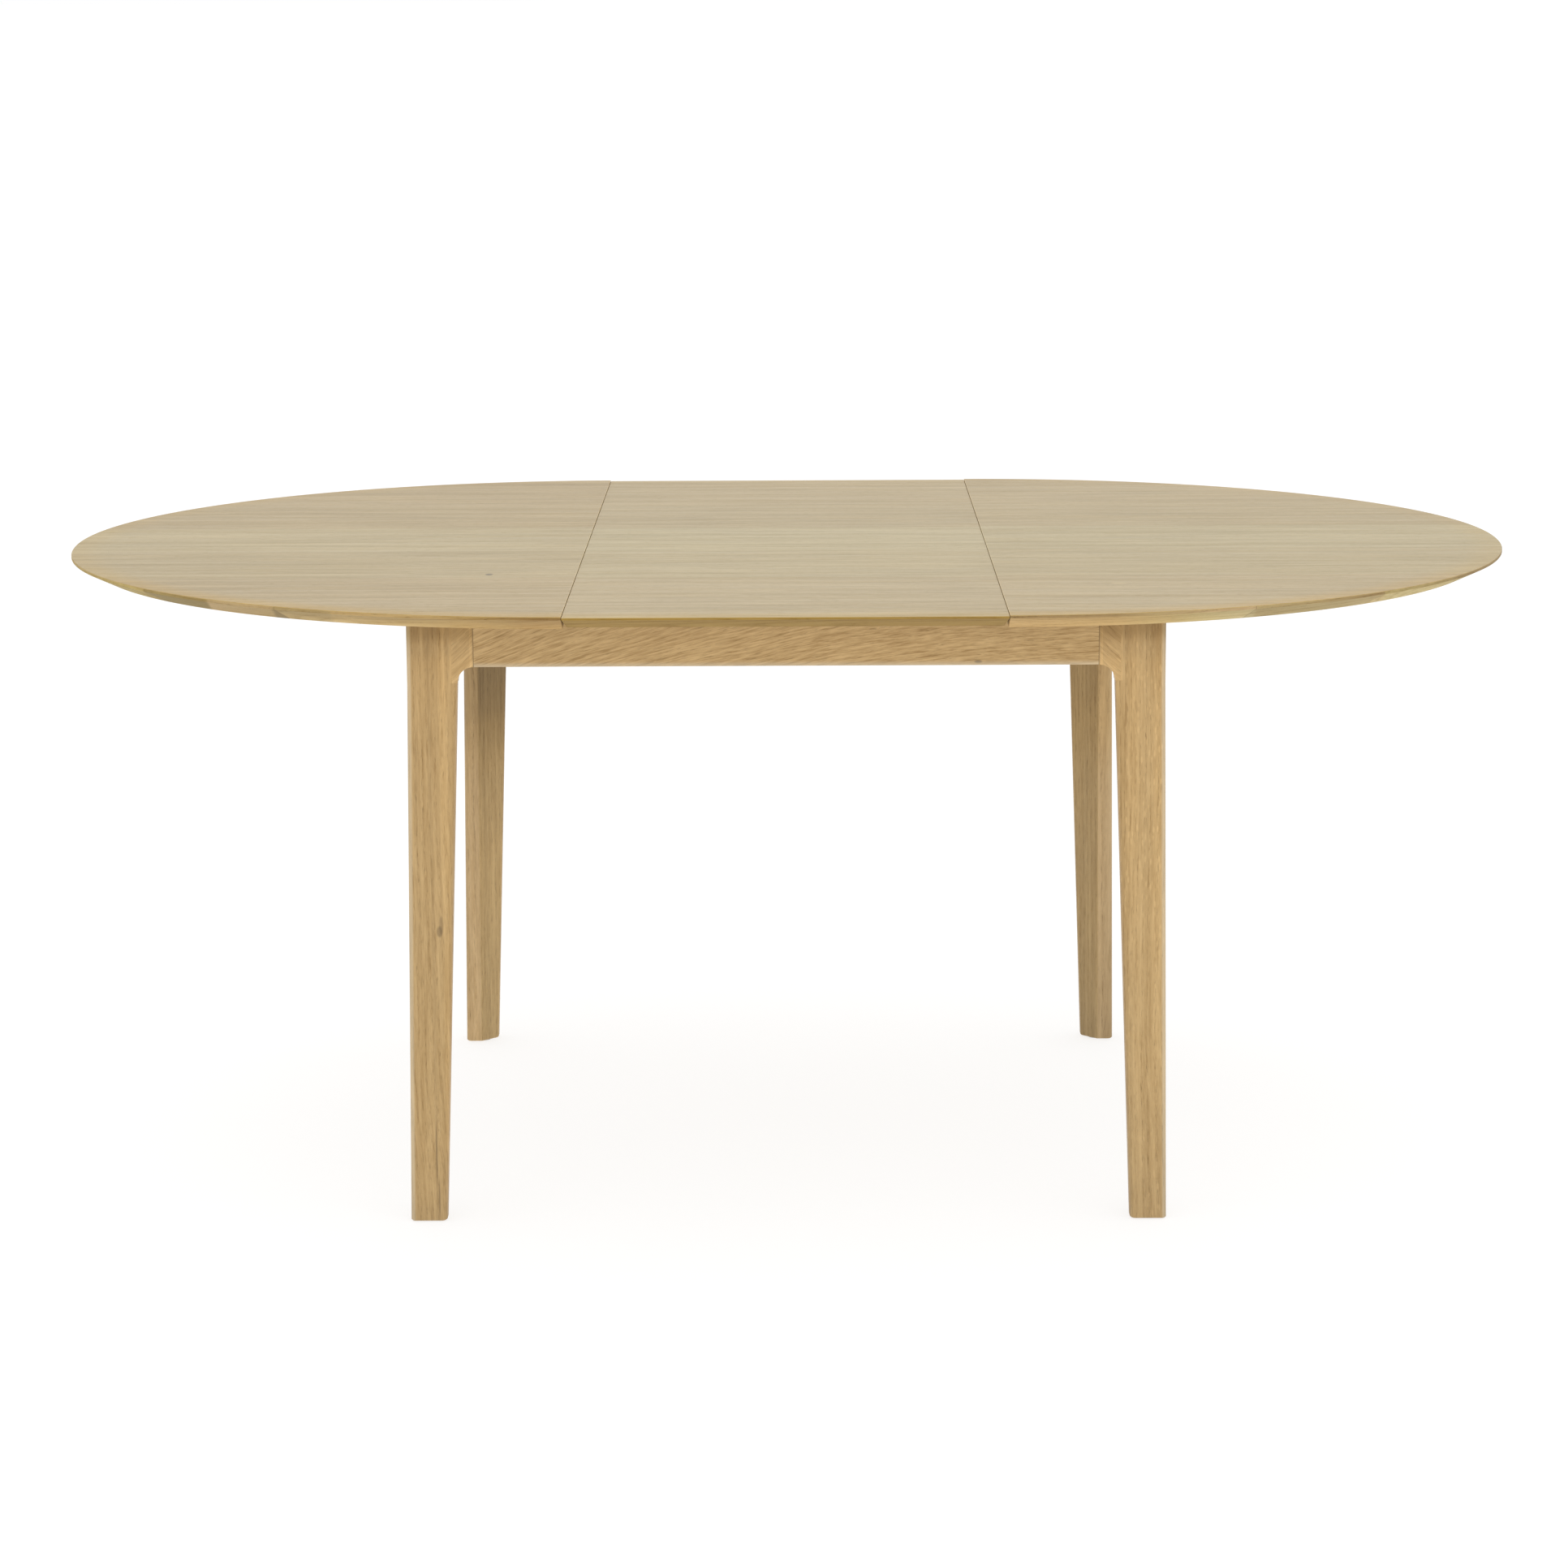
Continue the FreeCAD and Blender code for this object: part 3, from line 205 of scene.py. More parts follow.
def oak(
    t,
    along,
    across,
    origin=(0, 0, 0),
    colours=((0.6, 0.4, 0.2), (0.4, 0.25, 0.1)),
    seed=0.0,
    pith=(0.0, 0.09),
    tilt=(0.0, 0.0),
    curve=0.0,
    ring=0.0055,
    wobble=0.004,
    lines=1.0,
    streaks=1.0,
    grit=0.5,
    stroke=1.0,
    pores=1.0,
    flecks=0.0,
    tone=1.0,
    broad=0.2,
    rough=0.46,
    marks=(),
    joints=(),
    turned=None,
    finish=None,
):
    """Oak's colour, roughness and relief: growth rings round a pith line that runs beside the board, pores in the early
    wood, and fibres that follow the grain.

    along is the grain's direction and across the direction over the board's face, in the frame's axes; pith is where the
    tree's heart lies across and below the face, and tilt and curve how the grain runs over and out of the board.
    """
    light, dark = colours
    along, across = Vector(along).normalized(), Vector(across).normalized()
    below = along.cross(across)
    p = t.shift(t.coord(), -Vector(origin))
    u, v, w = t.dot(p, along), t.dot(p, across), t.dot(p, below)
    calm = 1.0
    if turned:
        u, v, w, calm = turned(t, u, v, w, p)

    # slow wandering of the grain
    sway = t.noise(t.vector(u * 1.7 + seed, v * 3.5 + seed * 1.3, w * 3.5 - seed), 1.0, 2.0, 0.5) - 0.5
    ripple = t.noise(t.vector(u * 9.0 + seed * 2.1, v * 22.0, w * 22.0 + seed), 1.0, 2.0, 0.55) - 0.5
    vv = v + u * tilt[0] + sway * (wobble * 7.0) + ripple * wobble
    if curve:
        vv = vv + u * u * curve
    ww = w + u * tilt[1] + sway * (wobble * 4.0) - ripple * wobble
    run, dip = vv - ripple * (wobble * 0.5), ww + ripple * (wobble * 0.5)
    a, b = vv - pith[0], ww - pith[1]
    radius = t.math("SQRT", a * a + b * b)
    # uneven years
    uneven = t.noise(t.vector(radius * 38.0 + seed, seed, 0.0), 1.0, 2.0, 0.6)
    year = radius / ring + uneven * 2.6 + seed * 7.3
    phase = t.math("FRACT", year)
    early = t.ramp(
        phase,
        [(0.0, 0.6), (0.06, 1.0), (0.22, 0.66), (0.45, 0.2), (0.8, 0.02), (0.93, 0.1), (1.0, 0.6)],
    )
    # how strongly the years show changes from year to year and over the board
    years = t.noise(t.vector(t.math("FLOOR", year) * 0.37 + seed, seed, 0.0), 1.0, 1.0, 0.5)
    shows = t.noise(t.vector(u * 5.0 - seed, run * 26.0, dip * 26.0 + seed), 1.0, 2.0, 0.5)
    shows = t.step(shows, 0.3, 0.68, 0.4, 1.0) * t.step(years, 0.3, 0.7, 0.5, 1.15)

    # fibres and pores: long and thin
    fibre = t.noise(t.vector(u * 8.0 + seed, run * 190.0, dip * 190.0), 1.0, 4.0, 0.66)
    silk = t.noise(t.vector(u * 1.6 - seed, run * 52.0 + seed, dip * 52.0), 1.0, 3.0, 0.6)
    pore_field = t.noise(t.vector(u * 95.0, run * 1500.0 + seed, dip * 1500.0), 1.0, 1.0, 0.5)
    pore = t.step(pore_field, 0.56, 0.68) * (early * 0.8 + 0.2)
    strokes = t.noise(
        t.vector(u * (30.0 * stroke) - seed, run * (430.0 * stroke) + seed, dip * (430.0 * stroke)), 1.0, 2.0, 0.6
    )
    dashes = t.noise(t.vector(u * 42.0 + seed, run * 380.0, dip * 380.0 - seed), 1.0, 2.0, 0.6)
    dashes = t.step(dashes, 0.52, 0.66) * (early * 0.7 + 0.3)

    depth = (
        (early * shows - 0.2) * (calm * (0.62 * lines))
        + (fibre - 0.5) * (1.15 * streaks)
        + (silk - 0.5) * (1.35 * streaks)
        + (strokes - 0.5) * grit
        + dashes * (0.3 * pores)
        + 0.42
    )
    depth = t.math("MULTIPLY", depth, 1.0, clamp=True)
    colour = t.mix(depth, light, dark)
    colour = t.scale(colour, 1.0 - pore * (0.34 * pores))

    if flecks:
        # medullary rays: short pale dashes that cross the fibres
        ray = t.voronoi(t.vector(u * 62.0 + seed, v * 240.0, w * 240.0), 1.0)
        ray = t.step(ray, 0.16, 0.34, 1.0, 0.0)
        field = t.noise(t.vector(u * 6.0, v * 24.0 + seed, w * 24.0), 1.0, 1.0, 0.5)
        ray = ray * t.step(field, 0.36, 0.62, 0.25, 1.0)
        colour = t.mix(ray * (0.35 * flecks), colour, tuple(min(1.0, c * 1.22) for c in light))

    # broad tone changes over the board
    cloud = t.noise(t.vector(u * 1.3 + seed * 3.0, v * 6.0, w * 6.0), 1.0, 2.0, 0.5)
    colour = t.scale(colour, (cloud - 0.5) * broad + tone)

    # knots and specks: (u, v, half length, half width, strength)
    for mu, mv, lu, lv, strength in marks:
        du, dv = (u - mu) / lu, (v - mv) / lv
        far = t.math("SQRT", du * du + dv * dv) + ripple * 1.2
        spot = t.step(far, 0.45, 1.0, 1.0, 0.0)
        if strength > 0:
            colour = t.mix(spot * strength, colour, tuple(c * 0.3 for c in dark))
        else:
            colour = t.mix(spot * -strength, colour, tuple(min(1.0, c * 1.25) for c in light))

    if finish:
        colour = finish(t, colour, u, v, w, p)

    # glue lines: (axis, place, half width, strength) in the frame's own coordinates
    for axis, place, half, strength in joints:
        d = t.math("ABSOLUTE", t.dot(p, axis) - (place - Vector(origin).dot(Vector(axis))))
        line = t.step(d, half * 0.4, half, 1.0, 0.0)
        colour = t.mix(line * strength, colour, tuple(c * 0.4 for c in dark))

    height = (1.0 - pore) * 0.7 + (fibre - 0.5) * 0.35 - early * 0.12 - dashes * 0.15
    return colour, depth * 0.12 + pore * 0.2 + (rough - 0.05), height


def wood(name, along, across, relief=1.0, **look):
    t = Tree(name)
    colour, rough, height = oak(t, along, across, **look)
    t.set(Base_Color=colour, Roughness=t.math("MULTIPLY", rough, 1.0, clamp=True))
    t.bsdf.inputs["Specular IOR Level"].default_value = 0.45
    t.bump(height, 0.32 * relief, 0.00018)
    return t.mat


# ---------------------------------------------------------------- assignment
def dress(node, material):
    data = NODES[node].data
    data.materials.clear()
    data.materials.append(material)


VENEER = tones(168, 150, 109, 0.19)
EDGE = tones(178, 147, 96, 0.2)
FRAME = tones(178, 145, 94, 0.29)
FRAME_REAR = tones(180, 150, 105, 0.27)
# colour of the painted highlight on rounded edges
PAINTED_EDGE_HIGHLIGHT = srgb(214, 200, 172)


def veneer_finish(seed, tint, centre, golden):
    """Sheets of veneer laid side by side, with their own tone, and the fine bright and dark streaks of sliced oak. A
    golden painted highlight runs along the rim, stronger towards the front; centre is where the rim's arc is struck
    from."""

    def add(t, colour, u, v, w, p):
        place = (v + 0.65) / 1.3
        # sheet edges across the table, in metres from the middle: -0.335, -0.1, 0.125, 0.36
        sheets = t.ramp(
            place,
            [
                (0.0, (1.0, 0.965, 0.95)),
                (0.2423, (1.01, 1.005, 1.0)),
                (0.4231, (1.03, 1.045, 1.06)),
                (0.5962, (0.965, 0.93, 0.89)),
                (0.7769, (0.97, 0.925, 0.88)),
            ],
            "CONSTANT",
        )
        jump = t.ramp(
            place, [(0.0, 0.1), (0.2423, 0.45), (0.4231, 0.8), (0.5962, 0.25), (0.7769, 0.6)], "CONSTANT"
        )
        colour = t.mix(1.0, colour, sheets, "MULTIPLY")
        colour = t.mix(1.0, colour, tint, "MULTIPLY")
        band = t.noise(
            t.vector(u * 4.5 + jump * 9.0 + seed, v * 62.0 + jump * 31.0, seed), 1.0, 2.0, 0.6
        )
        fine = t.noise(t.vector(u * 14.0 + jump * 17.0, v * 260.0, seed), 1.0, 3.0, 0.6)
        far = t.math("ABSOLUTE", v) if centre is None else t.math("SQRT", (u - centre) * (u - centre) + v * v)
        # painted highlight: the rim's top is tinted golden, more strongly towards the front
        golden_rim_highlight = t.step(far, 0.595, 0.64) * t.step(v, -0.55, -0.1, 1.0, 0.4)
        colour = t.mix(golden_rim_highlight, colour, t.mix(1.0, colour, golden, "MULTIPLY"))
        # painted highlight: the top is made 16 % lighter along the arris at each seam
        seam = t.math("ABSOLUTE", t.math("ABSOLUTE", u) - 0.25)
        colour = t.scale(colour, t.step(seam, 0.0008, 0.0014, 1.16, 1.0))
        return t.scale(colour, (band - 0.5) * 0.42 + (fine - 0.5) * 0.24 + 1.0)

    return add


PANELS = {
    # node: (seed, tint, centre of the rim's arc, colour of the rim's golden painted highlight, marks)
    "top_left": (1.7, (1.06, 1.03, 0.97), -0.25, (1.09, 0.965, 0.57), ((-0.354, -0.304, 0.0048, 0.0085, 0.75),)),
    "top_right": (4.1, (1.08, 1.07, 1.03), 0.25, (1.08, 0.965, 0.66), ((0.391, -0.398, 0.012, 0.006, -0.5),)),
    "leaf": (7.9, (1.09, 1.09, 1.08), None, (1.07, 0.985, 0.7), ()),
}


def veneer(node):
    """What one panel's veneer looks like; it lies over the solid edge as well."""
    seed, tint, centre, golden, marks = PANELS[node]
    return dict(
        along=(1, 0, 0),
        across=(0, 1, 0),
        colours=VENEER,
        seed=seed,
        pith=(-1.1, 0.02),
        tilt=(0.004, 0.0),
        ring=0.0042,
        wobble=0.0035,
        lines=0.4,
        streaks=0.85,
        grit=0.4,
        pores=0.8,
        broad=0.14,
        rough=0.42,
        marks=marks,
        finish=veneer_finish(seed, tint, centre, golden),
    )


for node in PANELS:
    dress(node, wood("oak_veneer_" + node, relief=0.7, **veneer(node)))


# How the solid edge's wood changes along the front of each half, in metres along the table: the colour factors of the
# upright part and of the bevel. By the left seam the upright part is darkened as a painted shade line.
PATCHES = {
    "left": (
        (-0.88, (0.9, 1.0, 1.0), (0.85, 0.95, 0.95)),
        (-0.775, (1.02, 1.21, 1.15), (0.89, 1.06, 1.0)),
        (-0.7525, (1.0, 1.15, 1.1), (0.88, 1.02, 0.95)),
        (-0.7505, (0.92, 1.0, 0.85), (0.75, 0.83, 0.68)),
        (-0.6655, (0.95, 1.02, 0.9), (0.76, 0.84, 0.7)),
        (-0.6635, (1.28, 1.4, 1.7), (1.3, 1.42, 1.7)),
        (-0.583, (1.3, 1.4, 1.7), (1.25, 1.38, 1.6)),
        (-0.5815, (1.15, 1.25, 1.3), (0.8, 0.88, 0.96)),
        (-0.5135, (1.2, 1.3, 1.38), (0.82, 0.9, 1.0)),
        (-0.5115, (1.44, 1.48, 1.55), (0.95, 1.04, 1.18)),
        (-0.4, (1.5, 1.55, 1.6), (0.98, 1.04, 1.12)),
        (-0.36, (1.32, 1.32, 1.2), (0.98, 1.0, 1.0)),
        (-0.34, (1.28, 1.28, 1.12), (0.97, 0.98, 0.98)),
        (-0.314, (1.04, 0.99, 0.82), (0.92, 0.93, 0.91)),
        (-0.285, (0.9, 0.8, 0.56), (0.88, 0.85, 0.8)),
        (-0.24, (0.92, 0.83, 0.6), (0.88, 0.85, 0.8)),
    ),
    "right": (
        (0.24, (1.0, 1.0, 1.05), (1.0, 1.0, 1.05)),
        (0.37, (1.0, 1.02, 1.1), (1.0, 1.02, 1.06)),
        (0.415, (1.24, 1.38, 1.6), (0.98, 1.07, 1.14)),
        (0.455, (1.35, 1.48, 1.9), (0.98, 1.15, 1.3)),
        (0.5, (1.46, 1.58, 2.1), (1.0, 1.24, 1.55)),
        (0.5295, (1.46, 1.58, 2.1), (1.0, 1.24, 1.6)),
        (0.5315, (1.0, 1.14, 1.33), (0.88, 1.02, 1.17)),
        (0.62, (0.95, 1.05, 1.2), (0.9, 1.06, 1.22)),
        (0.665, (0.77, 0.8, 0.85), (0.99, 1.16, 1.4)),
        (0.689, (0.77, 0.8, 0.85), (0.97, 1.13, 1.35)),
        (0.691, (0.85, 1.02, 1.06), (1.02, 1.26, 1.5)),
        (0.765, (0.75, 0.86, 0.9), (1.0, 1.22, 1.4)),
        (0.8, (0.62, 0.66, 0.74), (0.8, 0.95, 1.05)),
        (0.88, (0.62, 0.66, 0.74), (0.8, 0.95, 1.05)),
    ),
}


def patches(t, side, part):
    """part is 1 for the upright part and 2 for the bevel. Only the front has them."""
    x, y = t.dot(t.coord(), (1, 0, 0)), t.dot(t.coord(), (0, 1, 0))
    stops = PATCHES[side]
    low = stops[0][0]
    span = stops[-1][0] - low
    ramp = t.ramp((x - low) / span, [((stop[0] - low) / span, stop[part]) for stop in stops])
    return t.mix(t.step(y, -0.12, 0.05), ramp, (0.95, 1.0, 1.0))


def rim(name, panel, top, land, low, high, tint, ends=(), side=None, **look):
    """A solid edge with the panel's veneer carried over it. land, low and high are tones: of the upright part, and of
    the underside bevel at its foot and where it meets the upright part; tint colours both. They hold painted shade as
    well as the wood's tone: a darker upright part is a painted shade line under the arris, and the leaf's bevel is
    painted in shade.
    ends are its glue lines."""
    t = Tree(name)
    base, base_rough, base_height = oak(t, **look)
    face, face_rough, face_height = oak(t, **veneer(panel))
    z = t.dot(t.coord(), (0, 0, 1))
    # the tones of the bevel and of the upright part carry painted shade as well as the wood's tone
    under = t.step(z, 0.740, top - 0.0036, low, high)
    upright = t.step(z, top - 0.0039, top - 0.0033)
    base = t.scale(base, under + upright * (land - high))
    base = t.mix(1.0, base, tint, "MULTIPLY")
    if side:
        base = t.mix(1.0, base, t.mix(upright, patches(t, side, 2), patches(t, side, 1)), "MULTIPLY")
    for axis, place, half, strength in ends:
        d = t.math("ABSOLUTE", t.dot(t.coord(), axis) - place)
        line = t.step(d, half * 0.4, half, 1.0, 0.0)
        base = t.mix(line * strength, base, tuple(c * 0.4 for c in EDGE[1]))
    above = t.step(z, top - 0.0009, top - 0.0002)
    t.set(
        Base_Color=t.mix(above, base, face),
        Roughness=t.math("MULTIPLY", t.step(above, 0.0, 1.0, 0.3, 0.0, False) + base_rough * (1.0 - above) + face_rough * above, 1.0, clamp=True),
    )
    t.bsdf.inputs["Specular IOR Level"].default_value = 0.45
    t.bump(base_height * (1.0 - above) + face_height * above, 0.26, 0.00018)
    return t.mat


def segment_angles():
    found = {}
    for side, centre, joints in (
        ("right", 0.25, [90.0, 44.0, 2.0, -47.0, -64.2, -90.0]),
        ("left", -0.25, [90.0, 133.0, 178.0, 219.2, 239.2, 270.0]),
    ):
        for i in range(5):
            found["edge_%s_%d" % (side, i + 1)] = (centre, joints[i], joints[i + 1])
    return found


RIMS = {
    # node: (upright part, bevel's foot, bevel's top), tones that include painted shade; a low upright part is a painted
    # shade line under the arris
    "edge_left_1": (0.95, 1.1, 1.05),
    "edge_left_2": (0.95, 1.05, 1.0),
    "edge_left_3": (1.0, 1.05, 1.0),
    "edge_left_4": (0.72, 0.76, 0.7),
    "edge_left_5": (0.62, 1.2, 0.88),
    "edge_right_1": (0.95, 1.05, 1.0),
    "edge_right_2": (0.95, 1.1, 1.05),
    "edge_right_3": (1.0, 1.15, 1.1),
    "edge_right_4": (0.8, 0.95, 0.88),
    "edge_right_5": (0.66, 1.2, 1.0),
}
for i, (node, (centre, first, last)) in enumerate(sorted(segment_angles().items())):
    mid = math.radians((first + last) / 2)
    out = Vector((math.cos(mid), math.sin(mid), 0))
    glue = []
    for angle in (first, last):
        side = Vector((-math.sin(math.radians(angle)), math.cos(math.radians(angle)), 0))
        if abs(abs(angle) % 180.0 - 90.0) > 1.0:
            glue.append((side, side.x * centre, 0.0006, 0.7))
    land, low, high = RIMS[node]
    dress(
        node,
        rim(
            "oak_" + node,
            "top_left" if centre < 0 else "top_right",
            0.758,
            land,
            low,
            high,
            (1.0, 0.955, 0.84),
            glue,
            "left" if centre < 0 else "right",
            along=(-math.sin(mid), math.cos(mid), 0),
            across=out,
            origin=Vector((centre, 0, 0.749)) + out * 0.6,
            colours=EDGE,
            seed=11.3 + i * 2.7,
            pith=(0.02 + 0.01 * (i % 3), 0.07),
            tilt=(0.02, 0.05 - 0.02 * (i % 4)),
            ring=0.005,
            lines=1.0,
            streaks=1.1,
        ),
    )
# painted shade: the leaf's edge is darkened and warmed on its upright part and bevel
for node, seed, y in (("leaf_edge_front", 31.0, -0.62), ("leaf_edge_rear", 37.0, 0.62)):
    dress(
        node,
        rim(
            "oak_" + node,
            "leaf",
            0.757,
            0.66,
            0.66,
            0.61,
            (1.03, 0.925, 0.38),
            along=(1, 0, 0),
            across=(0, 1, 0),
            origin=(0, y, 0.749),
            colours=EDGE,
            seed=seed,
            pith=(0.03, 0.06),
            tilt=(0.0, 0.03),
            ring=0.005,
            lines=1.0,
            streaks=1.1,
        ),
    )


def turned_shoulder(sx, sy):
    """The shoulders are glued on, with their grain running askew to the leg's."""

    def turn(t, u, v, w, p):
        c = t.coord()
        x, y, z = t.dot(c, (sx, 0, 0)), t.dot(c, (0, sy, 0)), t.dot(c, (0, 0, 1))
        high = t.step(z, 0.6499, 0.6501)
        in_x = t.step(x, 0.3894, 0.3896, 1.0, 0.0) * high
        in_y = t.step(y, 0.3894, 0.3896, 1.0, 0.0) * high
        angle = math.radians(48.0)
        # the front and rear shoulders turn in the u-v plane, the end ones in the u-w plane
        du = u * (math.cos(angle) - 1.0) - v * (math.sin(angle) * sx)
        dv = u * (math.sin(angle) * sx) + v * (math.cos(angle) - 1.0)
        eu = u * (math.cos(angle) - 1.0) - w * (math.sin(angle) * sy)
        ew = u * (math.sin(angle) * sy) + w * (math.cos(angle) - 1.0)
        calm = 1.0 - t.math("MAXIMUM", in_x, in_y) * 0.85
        return u + du * in_x + eu * in_y, v + dv * in_x, w + ew * in_y, calm

    return turn


def leg_finish(sx, sy, strips, painted_shading_down, cut_face_shade, cut_face_painted_shading_down):
    """Stripes of lighter and darker wood down the leg, glue lines beside the shoulders, and painted light and shade
    from the floor up (darker just under the top and towards the floor), with its own painted shade for the face that is
    cut off inside."""

    def down(t, z, stops):
        low, high = min(f for _, f in stops), max(f for _, f in stops)
        ramp = t.ramp(z / 0.76, [(h / 0.76, (f - low) / (high - low)) for h, f in stops], "EASE")
        return ramp * (high - low) + low

    def add(t, colour, u, v, w, p):
        c = t.coord()
        x, y, z = t.dot(c, (sx, 0, 0)), t.dot(c, (0, sy, 0)), t.dot(c, (0, 0, 1))
        wander = t.noise(t.vector(z * 2.2 + sx, sy * 3.0, 0.0), 1.0, 2.0, 0.5) - 0.5
        for place, half, below, above in strips:
            d = t.math("ABSOLUTE", x + wander * 0.006 - place)
            strength = t.step(z, 0.15, 0.5, below, above)
            colour = t.scale(colour, 1.0 + t.step(d, half * 0.3, half, 1.0, 0.0) * strength)
        # pale glue lines on both sides of a shoulder
        high = t.step(z, 0.6499, 0.6501)
        for q in (x, y):
            for place in (0.3905, 0.3672):
                d = t.math("ABSOLUTE", q - place)
                colour = t.scale(colour, 1.0 + t.step(d, 0.0006, 0.0016, 0.13, 0.0) * high)
        # a painted highlight makes the rounded outer corner pale; the outer faces lean out towards the floor
        lean = t.step(z, 0.0, 0.646, 0.9, 0.884, False)
        corner = t.step(x + y - lean, -0.0062, -0.0034)
        colour = t.mix(corner * 0.42, colour, PAINTED_EDGE_HIGHLIGHT)
        # the inner corner's cut face leans with the taper
        cut = t.step(x + y + t.math("MINIMUM", z, 0.646) * 0.0462, 0.8358, 0.837, 1.0, 0.0)
        side = t.step(t.math("MINIMUM", x, y), 0.3894, 0.3896, 0.1, 0.0) * high
        colour = t.scale(colour, 1.0 + side)
        # painted light and shade down the leg: darker just under the top and towards the floor, and the rear legs' cut
        # face darker above
        tone = down(t, z, painted_shading_down)
        if cut_face_painted_shading_down:
            tone = tone + (down(t, z, cut_face_painted_shading_down) - tone) * cut
        # painted shade colour: the cut face of the rear legs is less blue
        if sy > 0:
            colour = t.mix(cut, colour, t.mix(1.0, colour, (1.0, 0.99, 0.86), "MULTIPLY"))
        # painted shade colour on the upper part of the rear legs
        if sy > 0:
            colour = t.mix(t.step(z, 0.36, 0.46, 0.0, 0.9), colour, t.mix(1.0, colour, (1.02, 0.98, 0.85), "MULTIPLY"))
        else:
            # painted shadow just under the top on the front legs
            colour = t.mix(t.step(z, 0.69, 0.712), colour, t.mix(1.0, colour, (1.0, 0.93, 0.74), "MULTIPLY"))
        return t.scale(colour, tone * (cut * (cut_face_shade - 1.0) + 1.0))

    return add


LEGS = {
    # node: (x sign, y sign, seed, tone, flecks, pith, tilt, stripes, painted light and shade from the floor up, painted
    # shade of the cut face, its own painted light and shade from the floor up)
    "leg_front_left": (
        -1, -1, 41.0, 1.02, 0.35, (0.075, 0.03), (0.012, 0.012),
        (
            (0.4005, 0.007, 0.14, 0.14), (0.4335, 0.006, 0.02, -0.03), (0.417, 0.003, -0.07, -0.08),
            (0.384, 0.004, -0.06, -0.04),
        ),
        (
            (0.0, 0.84), (0.05, 0.92), (0.1, 0.97), (0.35, 0.97), (0.42, 1.01), (0.58, 1.04), (0.65, 1.13),
            (0.672, 1.13), (0.69, 1.02), (0.71, 0.76),
        ),
        1.0, (),
    ),
    "leg_front_right": (
        1, -1, 47.5, 1.05, 1.0, (-0.1, 0.03), (0.01, 0.01),
        ((0.404, 0.009, -0.08, 0.07), (0.42, 0.006, 0.0, -0.04), (0.434, 0.007, 0.03, 0.08)),
        ((0.0, 0.79), (0.1, 0.88), (0.2, 0.96), (0.4, 1.02), (0.62, 1.08), (0.668, 1.11), (0.69, 1.0), (0.71, 0.73)),
        1.0, (),
    ),
    "leg_rear_left": (
        -1, 1, 53.0, 1.03, 0.4, (0.05, 0.06), (0.01, 0.02),
        ((0.436, 0.003, 0.06, 0.06), (0.418, 0.004, -0.05, -0.05)),
        ((0.0, 1.08), (0.2, 1.05), (0.35, 1.0), (0.4, 0.95), (0.435, 0.83), (0.47, 0.73), (0.6, 0.7)),
        1.0,
        ((0.0, 0.87), (0.1, 0.9), (0.19, 0.96), (0.26, 1.0), (0.33, 0.93), (0.385, 0.88), (0.443, 0.7), (0.48, 0.55), (0.52, 0.5), (0.65, 0.5)),
    ),
    "leg_rear_right": (
        1, 1, 59.0, 0.98, 0.4, (-0.04, 0.07), (-0.01, 0.02),
        ((0.43, 0.006, 0.06, 0.06), (0.41, 0.004, -0.05, -0.05)),
        ((0.0, 0.8), (0.07, 0.88), (0.13, 0.94), (0.2, 0.97), (0.35, 1.03), (0.43, 1.02), (0.6, 0.98)),
        1.0,
        ((0.0, 0.68), (0.1, 0.8), (0.19, 0.87), (0.26, 0.84), (0.33, 0.88), (0.385, 0.87), (0.443, 0.81), (0.506, 0.75), (0.65, 0.7)),
    ),
}
for node, (sx, sy, seed, tone, flecks, pith, tilt, strips, painted_shading_down, cut_face_shade, cut_face_painted_shading_down) in LEGS.items():
    marks = []
    if node == "leg_front_left":
        marks = [
            (0.354, 0.0105, 0.008, 0.004, 0.5),
            (0.362, 0.0125, 0.014, 0.0025, 0.35),
            (0.085, 0.002, 0.045, 0.0012, 0.5),
            (0.03, 0.0045, 0.03, 0.0012, 0.4),
        ]
    dress(
        node,
        wood(
            "oak_" + node,
            (0, 0, 1),
            (1, 0, 0),
            origin=(sx * 0.42, sy * 0.42, 0),
            colours=FRAME if sy < 0 else FRAME_REAR,
            seed=seed,
            pith=pith,
            tilt=tilt,
            ring=0.0062,
            lines=0.45,
            streaks=0.85,
            grit=0.9,
            flecks=flecks,
            tone=tone,
            broad=0.16,
            marks=marks,
            joints=[
                ((1, 0, 0), sx * 0.364, 0.0006, 0.75),
                ((0, 1, 0), sy * 0.364, 0.0006, 0.75),
            ],
            turned=turned_shoulder(sx, sy),
            finish=leg_finish(sx, sy, strips, painted_shading_down, cut_face_shade, cut_face_painted_shading_down),
        ),
    )

def apron_edge_highlight(t, colour, u, v, w, p):
    """A painted highlight makes the lower edge a little paler."""
    z = t.dot(t.coord(), (0, 0, 1))
    return t.mix(t.step(z, 0.6695, 0.6755, 0.5, 0.0), colour, PAINTED_EDGE_HIGHLIGHT)


